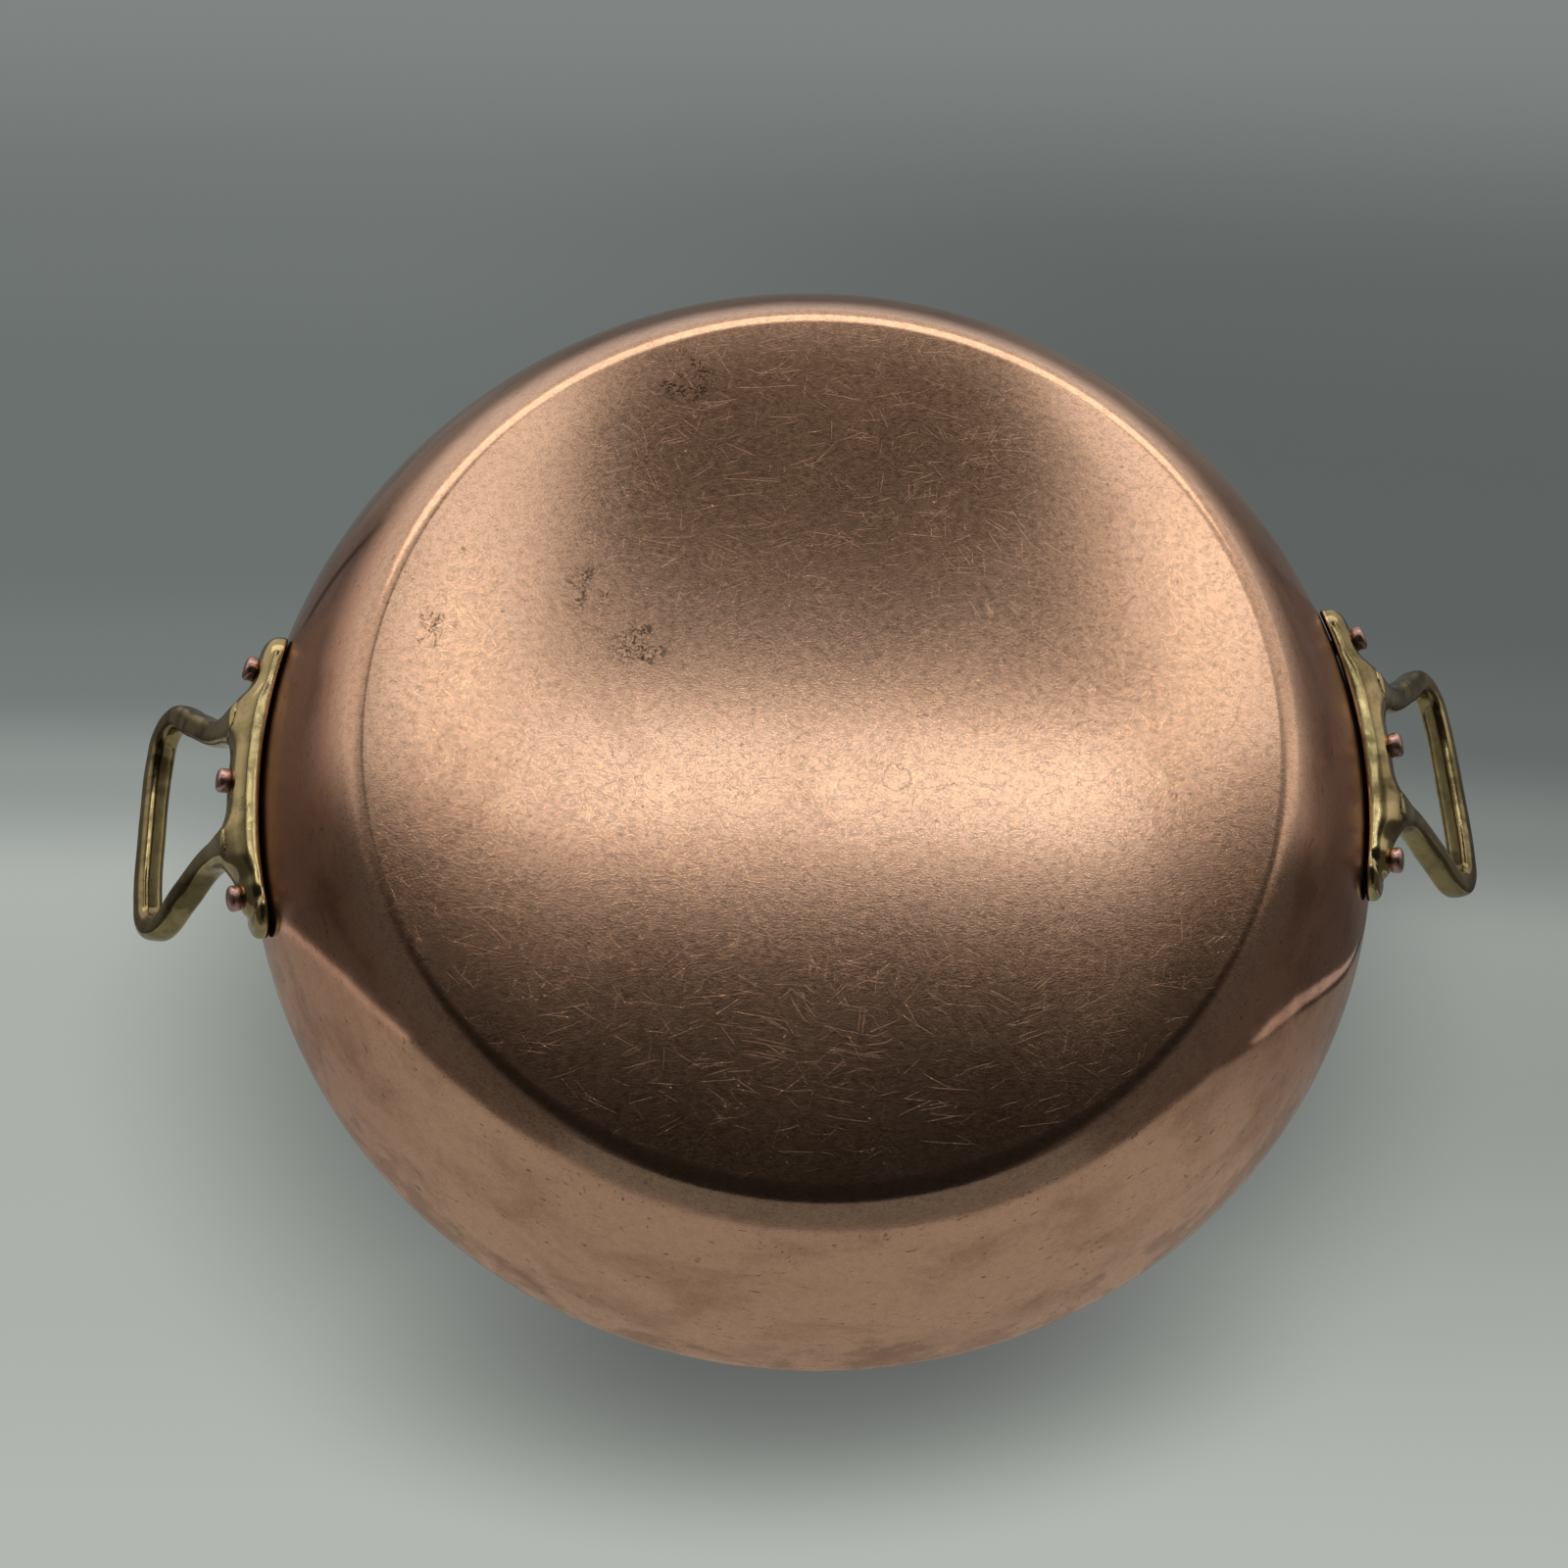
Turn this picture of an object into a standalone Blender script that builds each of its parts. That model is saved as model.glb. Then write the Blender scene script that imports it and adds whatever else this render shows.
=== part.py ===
"""Round copper gratin pan: a flared copper body lined with tin, and two cast brass loop handles,
each held by three copper rivets. Metres, +Z up out of the bowl, origin at the middle of the
base's underside, handles on the X axis."""

import math

import bmesh
import bpy
from mathutils import Matrix, Vector

# Body
RIM_RADIUS = 0.140
BASE_RADIUS = 0.105
PAN_HEIGHT = 0.045
WALL_BOW = 0.0035
CORNER_RADIUS = 0.008
COPPER_THICKNESS = 0.0020
TIN_THICKNESS = 0.0005
RIM_EASE = 0.0003
LINING_DROP = 0.0004
SEAM = 0.0003

# Handle flange, measured along the wall
FLANGE_DROP = 0.0081
FLANGE_LENGTH = 0.0770
FLANGE_HEIGHT = 0.0135
FLANGE_EDGE = 0.0024
FLANGE_CROWN = 0.0034
PAD_STEP = 0.0035
PAD_THICKNESS = 0.0063
SEAT_THICKNESS = 0.0050
SEAT_FALL = 0.0060

# Handle loop, measured in its own leaning plane
LOOP_LEAN = math.radians(46.0)
LOOP_DEPTH = 0.0030
LOOP_REACH = 0.0500
GRIP_BOW = 0.0013
LOOP_HALF_WIDTH = 0.0282
LOOP_CORNER = 0.0085
ROOT_SPREAD = 0.0158
ROOT_STRAIGHT = 0.0140
GRIP_RADIUS = 0.0033
ARM_RADIUS = 0.0035
ROOT_RADIUS = 0.0039

# Rivets
RIVET_MARGIN = 0.0102
RIVET_SHANK_RADIUS = 0.0020
RIVET_HEAD_RADIUS = 0.0031
RIVET_HEAD_HEIGHT = 0.0027
RIVET_TAIL_RADIUS = 0.0034
RIVET_TAIL_HEIGHT = 0.0012
RIVET_TAIL_EASE = 0.0007

# Fineness of the solids
BODY_STEPS = 76
RIVET_STEPS = 16
CORNER_STEPS = 4
WALL_STEPS = 7
FLANGE_STEPS = 12
CURVE_STEPS = 4
MERGE = 0.00001
DRILL_REACH = 4.0

COPPER = ((0.72, 0.38, 0.27), 0.32, 1.0)
TIN = ((0.62, 0.62, 0.60), 0.38, 1.0)
BRASS = ((0.46, 0.37, 0.18), 0.30, 1.0)
RIVET_COPPER = ((0.70, 0.40, 0.33), 0.34, 1.0)


def wall_circle():
    """Centre and radius of the arc that the outer wall follows, bowed out by WALL_BOW."""
    flare = RIM_RADIUS - BASE_RADIUS
    chord = math.hypot(flare, PAN_HEIGHT)
    radius = chord * chord / (8.0 * WALL_BOW) + WALL_BOW / 2.0
    back = radius - WALL_BOW
    centre_r = (RIM_RADIUS + BASE_RADIUS) / 2.0 - back * PAN_HEIGHT / chord
    centre_z = PAN_HEIGHT / 2.0 + back * flare / chord
    return centre_r, centre_z, radius


WALL_R, WALL_Z, WALL_ARC = wall_circle()
FLANGE_ANGLE = math.atan2(PAN_HEIGHT - WALL_Z, RIM_RADIUS - WALL_R) - FLANGE_DROP / WALL_ARC
FLANGE_RADIUS = WALL_R + WALL_ARC * math.cos(FLANGE_ANGLE)
BODY_INSET = COPPER_THICKNESS + SEAM + TIN_THICKNESS
PAD_LENGTH = FLANGE_LENGTH - 2.0 * PAD_STEP
RIVET_PITCH = FLANGE_LENGTH / 2.0 - RIVET_MARGIN


def on_wall(along, up, out):
    """The point this far along the wall, up its slope and out from its face, seen from a
    handle's middle on the +X side."""
    angle = FLANGE_ANGLE + up / WALL_ARC
    radius = WALL_R + (WALL_ARC + out) * math.cos(angle)
    height = WALL_Z + (WALL_ARC + out) * math.sin(angle)
    turn = along / FLANGE_RADIUS
    return Vector((radius * math.cos(turn), radius * math.sin(turn), height))


def wall_frame(along):
    """Matrix at a point of the wall on the flange's middle line, with +Z square out of it."""
    out = (on_wall(along, 0.0, 1.0) - on_wall(along, 0.0, 0.0)).normalized()
    side = Vector((-math.sin(along / FLANGE_RADIUS), math.cos(along / FLANGE_RADIUS), 0.0))
    up = out.cross(side)
    turn = Matrix((side, up, out)).transposed().to_4x4()
    return Matrix.Translation(on_wall(along, 0.0, 0.0)) @ turn


def inset_profile(inset, top):
    """Points of the wall's face from the flat of the base up to a height, set in by inset."""
    fillet_z = CORNER_RADIUS
    fillet_r = WALL_R + math.sqrt((WALL_ARC - CORNER_RADIUS) ** 2 - (fillet_z - WALL_Z) ** 2)
    start = math.atan2(fillet_z - WALL_Z, fillet_r - WALL_R)
    end = math.asin((top - WALL_Z) / (WALL_ARC - inset))
    points = []
    for i in range(CORNER_STEPS):
        angle = -math.pi / 2.0 + (start + math.pi / 2.0) * i / CORNER_STEPS
        radius = CORNER_RADIUS - inset
        points.append((fillet_r + radius * math.cos(angle), fillet_z + radius * math.sin(angle)))
    for i in range(WALL_STEPS + 1):
        angle = start + (end - start) * i / WALL_STEPS
        radius = WALL_ARC - inset
        points.append((WALL_R + radius * math.cos(angle), WALL_Z + radius * math.sin(angle)))
    return points


def collection(name):
    made = bpy.data.collections.new(name)
    bpy.context.scene.collection.children.link(made)
    return made


def material(name, look):
    colour, roughness, metallic = look
    made = bpy.data.materials.new(name)
    made.use_nodes = True
    shader = made.node_tree.nodes["Principled BSDF"]
    shader.inputs["Base Color"].default_value = (*colour, 1.0)
    shader.inputs["Roughness"].default_value = roughness
    shader.inputs["Metallic"].default_value = metallic
    return made


def add_object(name, data, group, look=None):
    made = bpy.data.objects.new(name, data)
    group.objects.link(made)
    if look:
        data.materials.append(look)
    return made


def screw(shape, steps):
    turned = shape.modifiers.new("Turn", "SCREW")
    turned.axis = "Z"
    turned.steps = steps
    turned.render_steps = steps
    turned.use_merge_vertices = True
    turned.merge_threshold = MERGE
    turned.use_smooth_shade = True


def turned_object(name, profile, steps, group, look):
    """A solid turned about +Z from a profile that starts and ends on the axis."""
    mesh = bpy.data.meshes.new(name)
    points = [(radius, 0.0, height) for radius, height in profile]
    mesh.from_pydata(points, [(i, i + 1) for i in range(len(points) - 1)], [])
    shape = add_object(name, mesh, group, look)
    screw(shape, steps)
    return shape


def bore(shape, drills):
    cut = shape.modifiers.new("Rivet holes", "BOOLEAN")
    cut.operand_type = "COLLECTION"
    cut.collection = drills
    cut.operation = "DIFFERENCE"
    cut.solver = "EXACT"


def shell_profile(outer, inner, top, ease):
    """Closed section of a bowl between two insets, with a flat, eased top edge."""
    inside = inset_profile(inner, top - ease)
    outside = inset_profile(outer, top - ease)
    rim = [
        (inside[-1][0] + ease, top),
        (outside[-1][0] - ease, top),
    ]
    return [(0.0, inner)] + inside + rim + outside[::-1] + [(0.0, outer)]


def make_body(group, drills, looks):
    copper = turned_object(
        "copper_body",
        shell_profile(0.0, COPPER_THICKNESS, PAN_HEIGHT, RIM_EASE),
        BODY_STEPS,
        group,
        looks["copper"],
    )
    lining = turned_object(
        "tin_lining",
        shell_profile(
            COPPER_THICKNESS + SEAM, BODY_INSET, PAN_HEIGHT - LINING_DROP, TIN_THICKNESS / 4.0
        ),
        BODY_STEPS,
        group,
        looks["tin"],
    )
    bore(copper, drills)
    bore(lining, drills)


def smooth(x):
    x = min(max(x, 0.0), 1.0)
    return x * x * (3.0 - 2.0 * x)


def pad_thickness(along):
    """Thickness of the raised pad, thinner at the end rivets than between the arms."""
    fall = RIVET_PITCH - RIVET_HEAD_RADIUS - SEAT_FALL
    return PAD_THICKNESS - (PAD_THICKNESS - SEAT_THICKNESS) * smooth((abs(along) - fall) / SEAT_FALL)


def half_height(along):
    """Half of the flange's height at this distance from its middle, with round ends."""
    end = FLANGE_HEIGHT / 2.0
    past = max(abs(along) - (FLANGE_LENGTH / 2.0 - end), 0.0)
    return math.sqrt(max(end * end - past * past, 0.0))


def flange_face(along, up):
    """How far the flange's front stands off its back: a thin plate under a crowned pad."""
    end = FLANGE_HEIGHT / 2.0
    past = max(abs(along) - (PAD_LENGTH / 2.0 - end), 0.0)
    inside = end - math.hypot(past, up)
    rise = 1.0 - min(max(inside / FLANGE_CROWN, 0.0), 1.0)
    crown = math.sqrt(1.0 - rise * rise)
    return FLANGE_EDGE + (pad_thickness(along) - FLANGE_EDGE) * crown


def flange_stations():
    """Distances from the flange's middle, closer together towards its tip."""
    end = FLANGE_HEIGHT / 2.0
    straight = FLANGE_LENGTH / 2.0 - end
    coarse = [straight * i / FLANGE_STEPS for i in range(FLANGE_STEPS)]
    fine = [straight + end * math.sin(math.radians(a)) for a in (0, 12, 24, 36, 48, 60, 72, 80)]
    half = coarse + fine
    return [-x for x in half[:0:-1]] + half


def make_flange(name, group, look):
    """The flange, lofted flat from sections across it and laid on the wall a seam away."""
    across = (-1.0, -0.9, -0.75, -0.5, -0.17, 0.17, 0.5, 0.75, 0.9, 1.0)
    mesh = bpy.data.meshes.new(name)
    shape = add_object(name, mesh, group, look)
    bm = bmesh.new()
    rings = []
    for along in flange_stations():
        half = half_height(along)
        ups = [half * share for share in across]
        front = [bm.verts.new(on_wall(along, up, SEAM + flange_face(along, up))) for up in ups]
        back = [bm.verts.new(on_wall(along, up, SEAM)) for up in ups[::3]]
        rings.append(front + back[::-1])
    for first, second in zip(rings, rings[1:]):
        count = len(first)
        for i in range(count):
            j = (i + 1) % count
            bm.faces.new((first[i], first[j], second[j], second[i]))
    bm.faces.new(rings[0])
    bm.faces.new(rings[-1][::-1])
    bmesh.ops.recalc_face_normals(bm, faces=bm.faces)
    bm.to_mesh(mesh)
    bm.free()
    return shape


def loop_points():
    """The loop's centreline as (out, side, radius), from one root round to the other."""
    reach = LOOP_REACH - GRIP_BOW - LOOP_CORNER
    width = LOOP_HALF_WIDTH - LOOP_CORNER
    bend = [
        (
            reach + LOOP_CORNER * math.cos(math.radians(angle)),
            width + LOOP_CORNER * math.sin(math.radians(angle)),
            GRIP_RADIUS,
        )
        for angle in (90, 58, 30, 0)
    ]
    flare = (
        (ROOT_STRAIGHT + reach) / 2.0,
        (ROOT_SPREAD + LOOP_HALF_WIDTH) / 2.0 + GRIP_RADIUS / 6.0,
        ARM_RADIUS,
    )
    half = [
        (0.0, ROOT_SPREAD, ROOT_RADIUS),
        (ROOT_STRAIGHT / 2.0, ROOT_SPREAD, ROOT_RADIUS),
        (ROOT_STRAIGHT, ROOT_SPREAD + GRIP_RADIUS / 4.0, ARM_RADIUS),
        flare,
        *bend,
        (LOOP_REACH, 0.0, GRIP_RADIUS),
    ]
    return half + [(out, -side, radius) for out, side, radius in half[-2::-1]]


def make_loop(name, group):
    """The loop as a curve with a round section, in a plane that leans out from the flange."""
    curve = bpy.data.curves.new(name, "CURVE")
    curve.dimensions = "3D"
    curve.bevel_depth = 1.0
    curve.bevel_resolution = 3
    curve.use_fill_caps = True
    curve.resolution_u = CURVE_STEPS
    points = loop_points()
    spline = curve.splines.new("BEZIER")
    spline.bezier_points.add(len(points) - 1)
    start = on_wall(0.0, 0.0, LOOP_DEPTH)
    outwards = Vector((math.cos(LOOP_LEAN), 0.0, math.sin(LOOP_LEAN)))
    for knot, (out, side, radius) in zip(spline.bezier_points, points):
        knot.co = start + outwards * out + Vector((0.0, side, 0.0))
        knot.radius = radius
        knot.handle_left_type = "AUTO"
        knot.handle_right_type = "AUTO"
    guide = add_object(name, curve, group)
    bpy.context.view_layer.update()
    evaluated = guide.evaluated_get(bpy.context.evaluated_depsgraph_get())
    mesh = bpy.data.meshes.new_from_object(evaluated)
    bm = bmesh.new()
    bm.from_mesh(mesh)
    bmesh.ops.remove_doubles(bm, verts=bm.verts, dist=MERGE)
    bmesh.ops.recalc_face_normals(bm, faces=bm.faces)
    bm.to_mesh(mesh)
    bm.free()
    shape = add_object(name + " solid", mesh, group)
    shape.matrix_world = guide.matrix_world
    bpy.data.objects.remove(guide)
    shape.hide_render = True
    shape.display_type = "WIRE"
    return shape


def make_handle(name, turn, group, cutters, drills, look):
    """One cast handle: the flange with the loop joined to it, bored for its rivets."""
    flange = make_flange(name, group, look)
    loop = make_loop(name + " loop", cutters)
    join = flange.modifiers.new("Loop", "BOOLEAN")
    join.operation = "UNION"
    join.object = loop
    join.solver = "EXACT"
    bore(flange, drills)
    flange.rotation_euler.z = turn
    loop.rotation_euler.z = turn
    for face in flange.data.polygons:
        face.use_smooth = True


def rivet_profile(seat):
    """Section of a rivet about the wall's normal: domed head, shank and flat tail inside."""
    head = seat + SEAM
    tail = -BODY_INSET - SEAM
    dome = [(0.0, head + RIVET_HEAD_HEIGHT)]
    for angle in (60, 38, 18, 0):
        bend = math.radians(angle)
        dome.append((RIVET_HEAD_RADIUS * math.cos(bend), head + RIVET_HEAD_HEIGHT * math.sin(bend)))
    return dome + [
        (RIVET_SHANK_RADIUS, head),
        (RIVET_SHANK_RADIUS, tail),
        (RIVET_TAIL_RADIUS, tail),
        (RIVET_TAIL_RADIUS, tail - RIVET_TAIL_HEIGHT + RIVET_TAIL_EASE),
        (RIVET_TAIL_RADIUS - RIVET_TAIL_EASE, tail - RIVET_TAIL_HEIGHT),
        (0.0, tail - RIVET_TAIL_HEIGHT),
    ]


def make_rivets(side, turn, group, drills, look):
    """Three rivets through one handle's flange, and the drill that makes each one's hole."""
    for place, along in (("front", -RIVET_PITCH), ("middle", 0.0), ("back", RIVET_PITCH)):
        sign = -1.0 if turn else 1.0
        matrix = Matrix.Rotation(turn, 4, "Z") @ wall_frame(along * sign)
        seat = SEAM + pad_thickness(along)
        name = f"rivet_{side}_{place}"
        rivet = turned_object(name, rivet_profile(seat), RIVET_STEPS, group, look)
        rivet.matrix_world = matrix
        length = DRILL_REACH * (PAD_THICKNESS + BODY_INSET)
        bpy.ops.mesh.primitive_cylinder_add(
            vertices=RIVET_STEPS, radius=RIVET_SHANK_RADIUS + SEAM, depth=length
        )
        drill = bpy.context.object
        drill.name = f"drill {side} {place}"
        for holder in list(drill.users_collection):
            holder.objects.unlink(drill)
        drills.objects.link(drill)
        drill.matrix_world = matrix
        drill.hide_render = True
        drill.display_type = "WIRE"


def main():
    for thing in list(bpy.data.objects):
        bpy.data.objects.remove(thing)
    parts = collection("Copper gratin pan")
    cutters = collection("Handle loops")
    drills = collection("Rivet drills")
    looks = {
        "copper": material("copper", COPPER),
        "tin": material("tin", TIN),
        "brass": material("brass", BRASS),
        "rivet": material("rivet copper", RIVET_COPPER),
    }
    make_body(parts, drills, looks)
    for side, turn in (("right", 0.0), ("left", math.pi)):
        make_rivets(side, turn, parts, drills, looks["rivet"])
        make_handle(f"handle_{side}", turn, parts, cutters, drills, looks["brass"])


main()
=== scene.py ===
"""Round copper gratin pan with cast brass loop handles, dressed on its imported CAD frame."""

import math

import bmesh
import bpy
from mathutils import Matrix, Vector, noise
from mathutils.bvhtree import BVHTree


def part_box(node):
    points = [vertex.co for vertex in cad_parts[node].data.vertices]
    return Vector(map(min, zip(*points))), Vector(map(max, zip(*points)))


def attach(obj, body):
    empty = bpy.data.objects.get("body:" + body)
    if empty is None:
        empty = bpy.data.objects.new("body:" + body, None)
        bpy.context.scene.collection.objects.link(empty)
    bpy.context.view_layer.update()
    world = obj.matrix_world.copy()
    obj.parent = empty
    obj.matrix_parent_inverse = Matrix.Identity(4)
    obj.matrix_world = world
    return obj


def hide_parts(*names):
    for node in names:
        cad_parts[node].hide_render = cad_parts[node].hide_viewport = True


bl_info = {
    "name": "Copper gratin pan",
    "version": (1, 0, 0),
    "blender": (4, 5, 0),
    "location": "3D View > Sidebar > Gratin pan",
    "description": "Makes a copper gratin pan with its tin lining, cast brass handles and rivets",
    "category": "Add Mesh",
}

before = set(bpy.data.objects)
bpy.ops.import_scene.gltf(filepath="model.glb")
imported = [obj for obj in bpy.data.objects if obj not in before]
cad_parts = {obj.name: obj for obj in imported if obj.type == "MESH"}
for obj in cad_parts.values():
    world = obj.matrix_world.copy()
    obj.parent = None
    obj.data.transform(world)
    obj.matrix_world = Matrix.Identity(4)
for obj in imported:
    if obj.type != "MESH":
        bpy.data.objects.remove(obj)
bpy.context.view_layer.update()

ROOT = "root"
SIDES = (("right", 0.0), ("left", math.pi))
RIVET_PLACES = ("front", "middle", "back")
METALS = {
    "copper": "Wiped copper",
    "tin": "Wiped tin",
    "brass": "Aged brass",
    "rivet": "Hammered copper",
}


# Settings


def metres(name, description, default):
    return bpy.props.FloatProperty(
        name=name, description=description, default=default, unit="LENGTH"
    )


def hue(name, description, default):
    return bpy.props.FloatVectorProperty(
        name=name, description=description, default=default, subtype="COLOR", size=3
    )


class PanSettings(bpy.types.PropertyGroup):
    """Sizes of the turned body."""

    rim_radius: metres("Rim radius", "Radius of the copper at the rim", 0.140)
    base_radius: metres("Base radius", "Radius at which the wall's arc would meet the base", 0.105)
    height: metres("Height", "Height of the rim above the base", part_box("copper_body")[1][2])
    wall_bow: metres("Wall bow", "How far the wall bows out from a straight cone", 0.0035)
    corner_radius: metres("Corner radius", "Radius of the corner between base and wall", 0.008)
    copper_thickness: metres("Copper thickness", "Thickness of the copper sheet", 0.0020)
    lining_depth: metres(
        "Lining depth", "Depth of the lining's inner face below the copper's outer face", 0.0028
    )


class HandleSettings(bpy.types.PropertyGroup):
    """Sizes of the cast handles and their rivets."""

    drop: metres(
        "Flange drop", "Distance along the wall from the rim to the flange's middle line", 0.0081
    )
    length: metres("Flange length", "Length of the flange along the wall", 0.0770)
    height: metres("Flange height", "Height of the flange up the wall", 0.0135)
    thickness: metres("Pad thickness", "Thickness of the raised middle of the flange", 0.0063)
    reach: metres("Loop reach", "How far the grip stands off the flange", 0.0500)
    half_width: metres(
        "Loop half width", "Half of the loop's width between the middles of its bends", 0.0282
    )
    lean: bpy.props.FloatProperty(
        name="Loop lean",
        description="Angle at which the loop rises from the horizontal",
        default=math.radians(46.0),
        subtype="ANGLE",
    )
    grip_radius: metres("Grip radius", "Half thickness of the grip bar", 0.0033)
    fillet: metres(
        "Casting fillet", "Reach of the soft fillets where the arms leave the flange", 0.0065
    )
    rivet_pitch: metres(
        "Rivet pitch", "Distance along the wall between the middle rivet and the end ones", 0.0283
    )
    rivet_radius: metres("Rivet head radius", "Radius of a rivet's domed head", 0.0031)
    rivet_height: metres("Rivet head height", "Height of a rivet's domed head", 0.0027)


class FinishSettings(bpy.types.PropertyGroup):
    """Colours of the metals and the stage."""

    copper: hue("Copper", "Clean copper", (0.93, 0.585, 0.400))
    tarnish: hue("Tarnish", "Browned copper", (0.44, 0.240, 0.152))
    brass: hue("Brass", "Aged cast brass", (0.52, 0.410, 0.205))
    tin: hue("Tin", "Wiped tin lining", (0.66, 0.66, 0.63))
    rivet: hue("Rivet copper", "Copper of the rivets", (0.58, 0.36, 0.33))
    floor: hue("Floor", "Pale floor under the pan", (0.70, 0.72, 0.70))


def pan_settings():
    return bpy.context.scene.gratin_pan


def handle_settings():
    return bpy.context.scene.gratin_handles


def finishes():
    return bpy.context.scene.gratin_finishes


# The wall that everything sits on


class Wall:
    """The arc that the outer wall follows, and places measured along it."""

    def __init__(self):
        pan = pan_settings()
        flare = pan.rim_radius - pan.base_radius
        chord = math.hypot(flare, pan.height)
        self.arc = chord * chord / (8.0 * pan.wall_bow) + pan.wall_bow / 2.0
        back = self.arc - pan.wall_bow
        self.r = (pan.rim_radius + pan.base_radius) / 2.0 - back * pan.height / chord
        self.z = pan.height / 2.0 + back * flare / chord
        top = math.atan2(pan.height - self.z, pan.rim_radius - self.r)
        self.flange_angle = top - handle_settings().drop / self.arc
        self.flange_radius = self.r + self.arc * math.cos(self.flange_angle)

    def point(self, along, up, out):
        angle = self.flange_angle + up / self.arc
        radius = self.r + (self.arc + out) * math.cos(angle)
        turn = along / self.flange_radius
        height = self.z + (self.arc + out) * math.sin(angle)
        return Vector((radius * math.cos(turn), radius * math.sin(turn), height))

    def clearance(self, point):
        """How far a point lies outside the outer wall's face."""
        return math.hypot(math.hypot(point.x, point.y) - self.r, point.z - self.z) - self.arc

    def profile(self, inset, top, corner_steps, wall_steps):
        """Points of the wall's face, set in by inset, from the base's flat up to a height."""
        corner = pan_settings().corner_radius
        fillet_r = self.r + math.sqrt((self.arc - corner) ** 2 - (corner - self.z) ** 2)
        start = math.atan2(corner - self.z, fillet_r - self.r)
        end = math.asin((top - self.z) / (self.arc - inset))
        points = []
        for i in range(corner_steps):
            angle = -math.pi / 2.0 + (start + math.pi / 2.0) * i / corner_steps
            radius = corner - inset
            points.append((fillet_r + radius * math.cos(angle), corner + radius * math.sin(angle)))
        for i in range(wall_steps + 1):
            angle = start + (end - start) * i / wall_steps
            radius = self.arc - inset
            points.append((self.r + radius * math.cos(angle), self.z + radius * math.sin(angle)))
        return points


# Meshes

CORNER_STEPS, WALL_STEPS, BASE_STEPS, RIM_STEPS = 10, 30, 8, 3
COPPER_SIDES, LINING_SIDES = 360, 300
COPPER_EASE, LINING_EASE = 0.0003, 0.0002
LINING_OVERLAP, LINING_DROP = 0.00002, 0.0004


def add_piece(name, mesh):
    made = bpy.data.objects.new(name, mesh)
    bpy.context.scene.collection.objects.link(made)
    return made


def mesh_of(bm, name):
    mesh = bpy.data.meshes.new(name)
    bm.to_mesh(mesh)
    bm.free()
    return mesh


def push_out(mesh, amounts):
    """Moves every vertex along its normal."""
    moves = [vert.normal * amount for vert, amount in zip(mesh.vertices, amounts)]
    for vert, move in zip(mesh.vertices, moves):
        vert.co += move


def shade_smooth(mesh):
    for face in mesh.polygons:
        face.use_smooth = True


def turned_mesh(name, profile, steps):
    """A closed solid turned about +Z from a profile that starts and ends on the axis."""
    bm = bmesh.new()
    rings = []
    for radius, height in profile:
        if radius < 1e-7:
            rings.append([bm.verts.new((0.0, 0.0, height))])
            continue
        ring = []
        for i in range(steps):
            turn = 2.0 * math.pi * i / steps
            ring.append(bm.verts.new((radius * math.cos(turn), radius * math.sin(turn), height)))
        rings.append(ring)
    for low, high in zip(rings, rings[1:]):
        for i in range(steps):
            j = (i + 1) % steps
            if len(low) == 1:
                bm.faces.new((low[0], high[i], high[j]))
            elif len(high) == 1:
                bm.faces.new((low[i], low[j], high[0]))
            else:
                bm.faces.new((low[i], low[j], high[j], high[i]))
    bmesh.ops.recalc_face_normals(bm, faces=bm.faces)
    mesh = mesh_of(bm, name)
    shade_smooth(mesh)
    return mesh


def swept_faces(bm, rings):
    """Joins closed rings of vertices in a row and caps both ends."""
    count = len(rings[0])
    for first, second in zip(rings, rings[1:]):
        for i in range(count):
            j = (i + 1) % count
            bm.faces.new((first[i], first[j], second[j], second[i]))
    bm.faces.new(rings[0])
    bm.faces.new(rings[-1][::-1])
    bmesh.ops.recalc_face_normals(bm, faces=bm.faces)


def base_rings(reach, steps):
    """Radii across the flat of the base, so that its mesh isn't one fan."""
    return [reach * i / steps for i in range(1, steps)]


def shell_profile(wall, outer, inner, top, ease):
    """Closed section of a bowl between two insets, its rim rounded over by ease."""
    inside = wall.profile(inner, top - ease, CORNER_STEPS, WALL_STEPS)
    outside = wall.profile(outer, top - ease, CORNER_STEPS, WALL_STEPS)
    across = outside[-1][0] - inside[-1][0]
    rim = [(inside[-1][0] + aside, top - down) for aside, down in rim_curve(ease)]
    rim.append((inside[-1][0] + ease, top))
    rim.append((inside[-1][0] + across / 2.0, top))
    rim.append((outside[-1][0] - ease, top))
    rim += [(outside[-1][0] - aside, top - down) for aside, down in rim_curve(ease)][::-1]
    flat_in = [(r, inner) for r in base_rings(inside[0][0], BASE_STEPS)]
    flat_out = [(r, outer) for r in base_rings(outside[0][0], BASE_STEPS)]
    return (
        [(0.0, inner)]
        + flat_in
        + inside
        + rim
        + outside[::-1]
        + flat_out[::-1]
        + [(0.0, outer)]
    )


def rim_curve(ease):
    """Steps of the rounding as (inwards, down) from the rim's side and top."""
    for i in range(1, RIM_STEPS + 1):
        angle = math.radians(90.0 / (RIM_STEPS + 1) * i)
        yield ease * (1.0 - math.cos(angle)), ease - ease * math.sin(angle)


def smooth(x):
    x = min(max(x, 0.0), 1.0)
    return x * x * (3.0 - 2.0 * x)


# Cast handles

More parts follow.
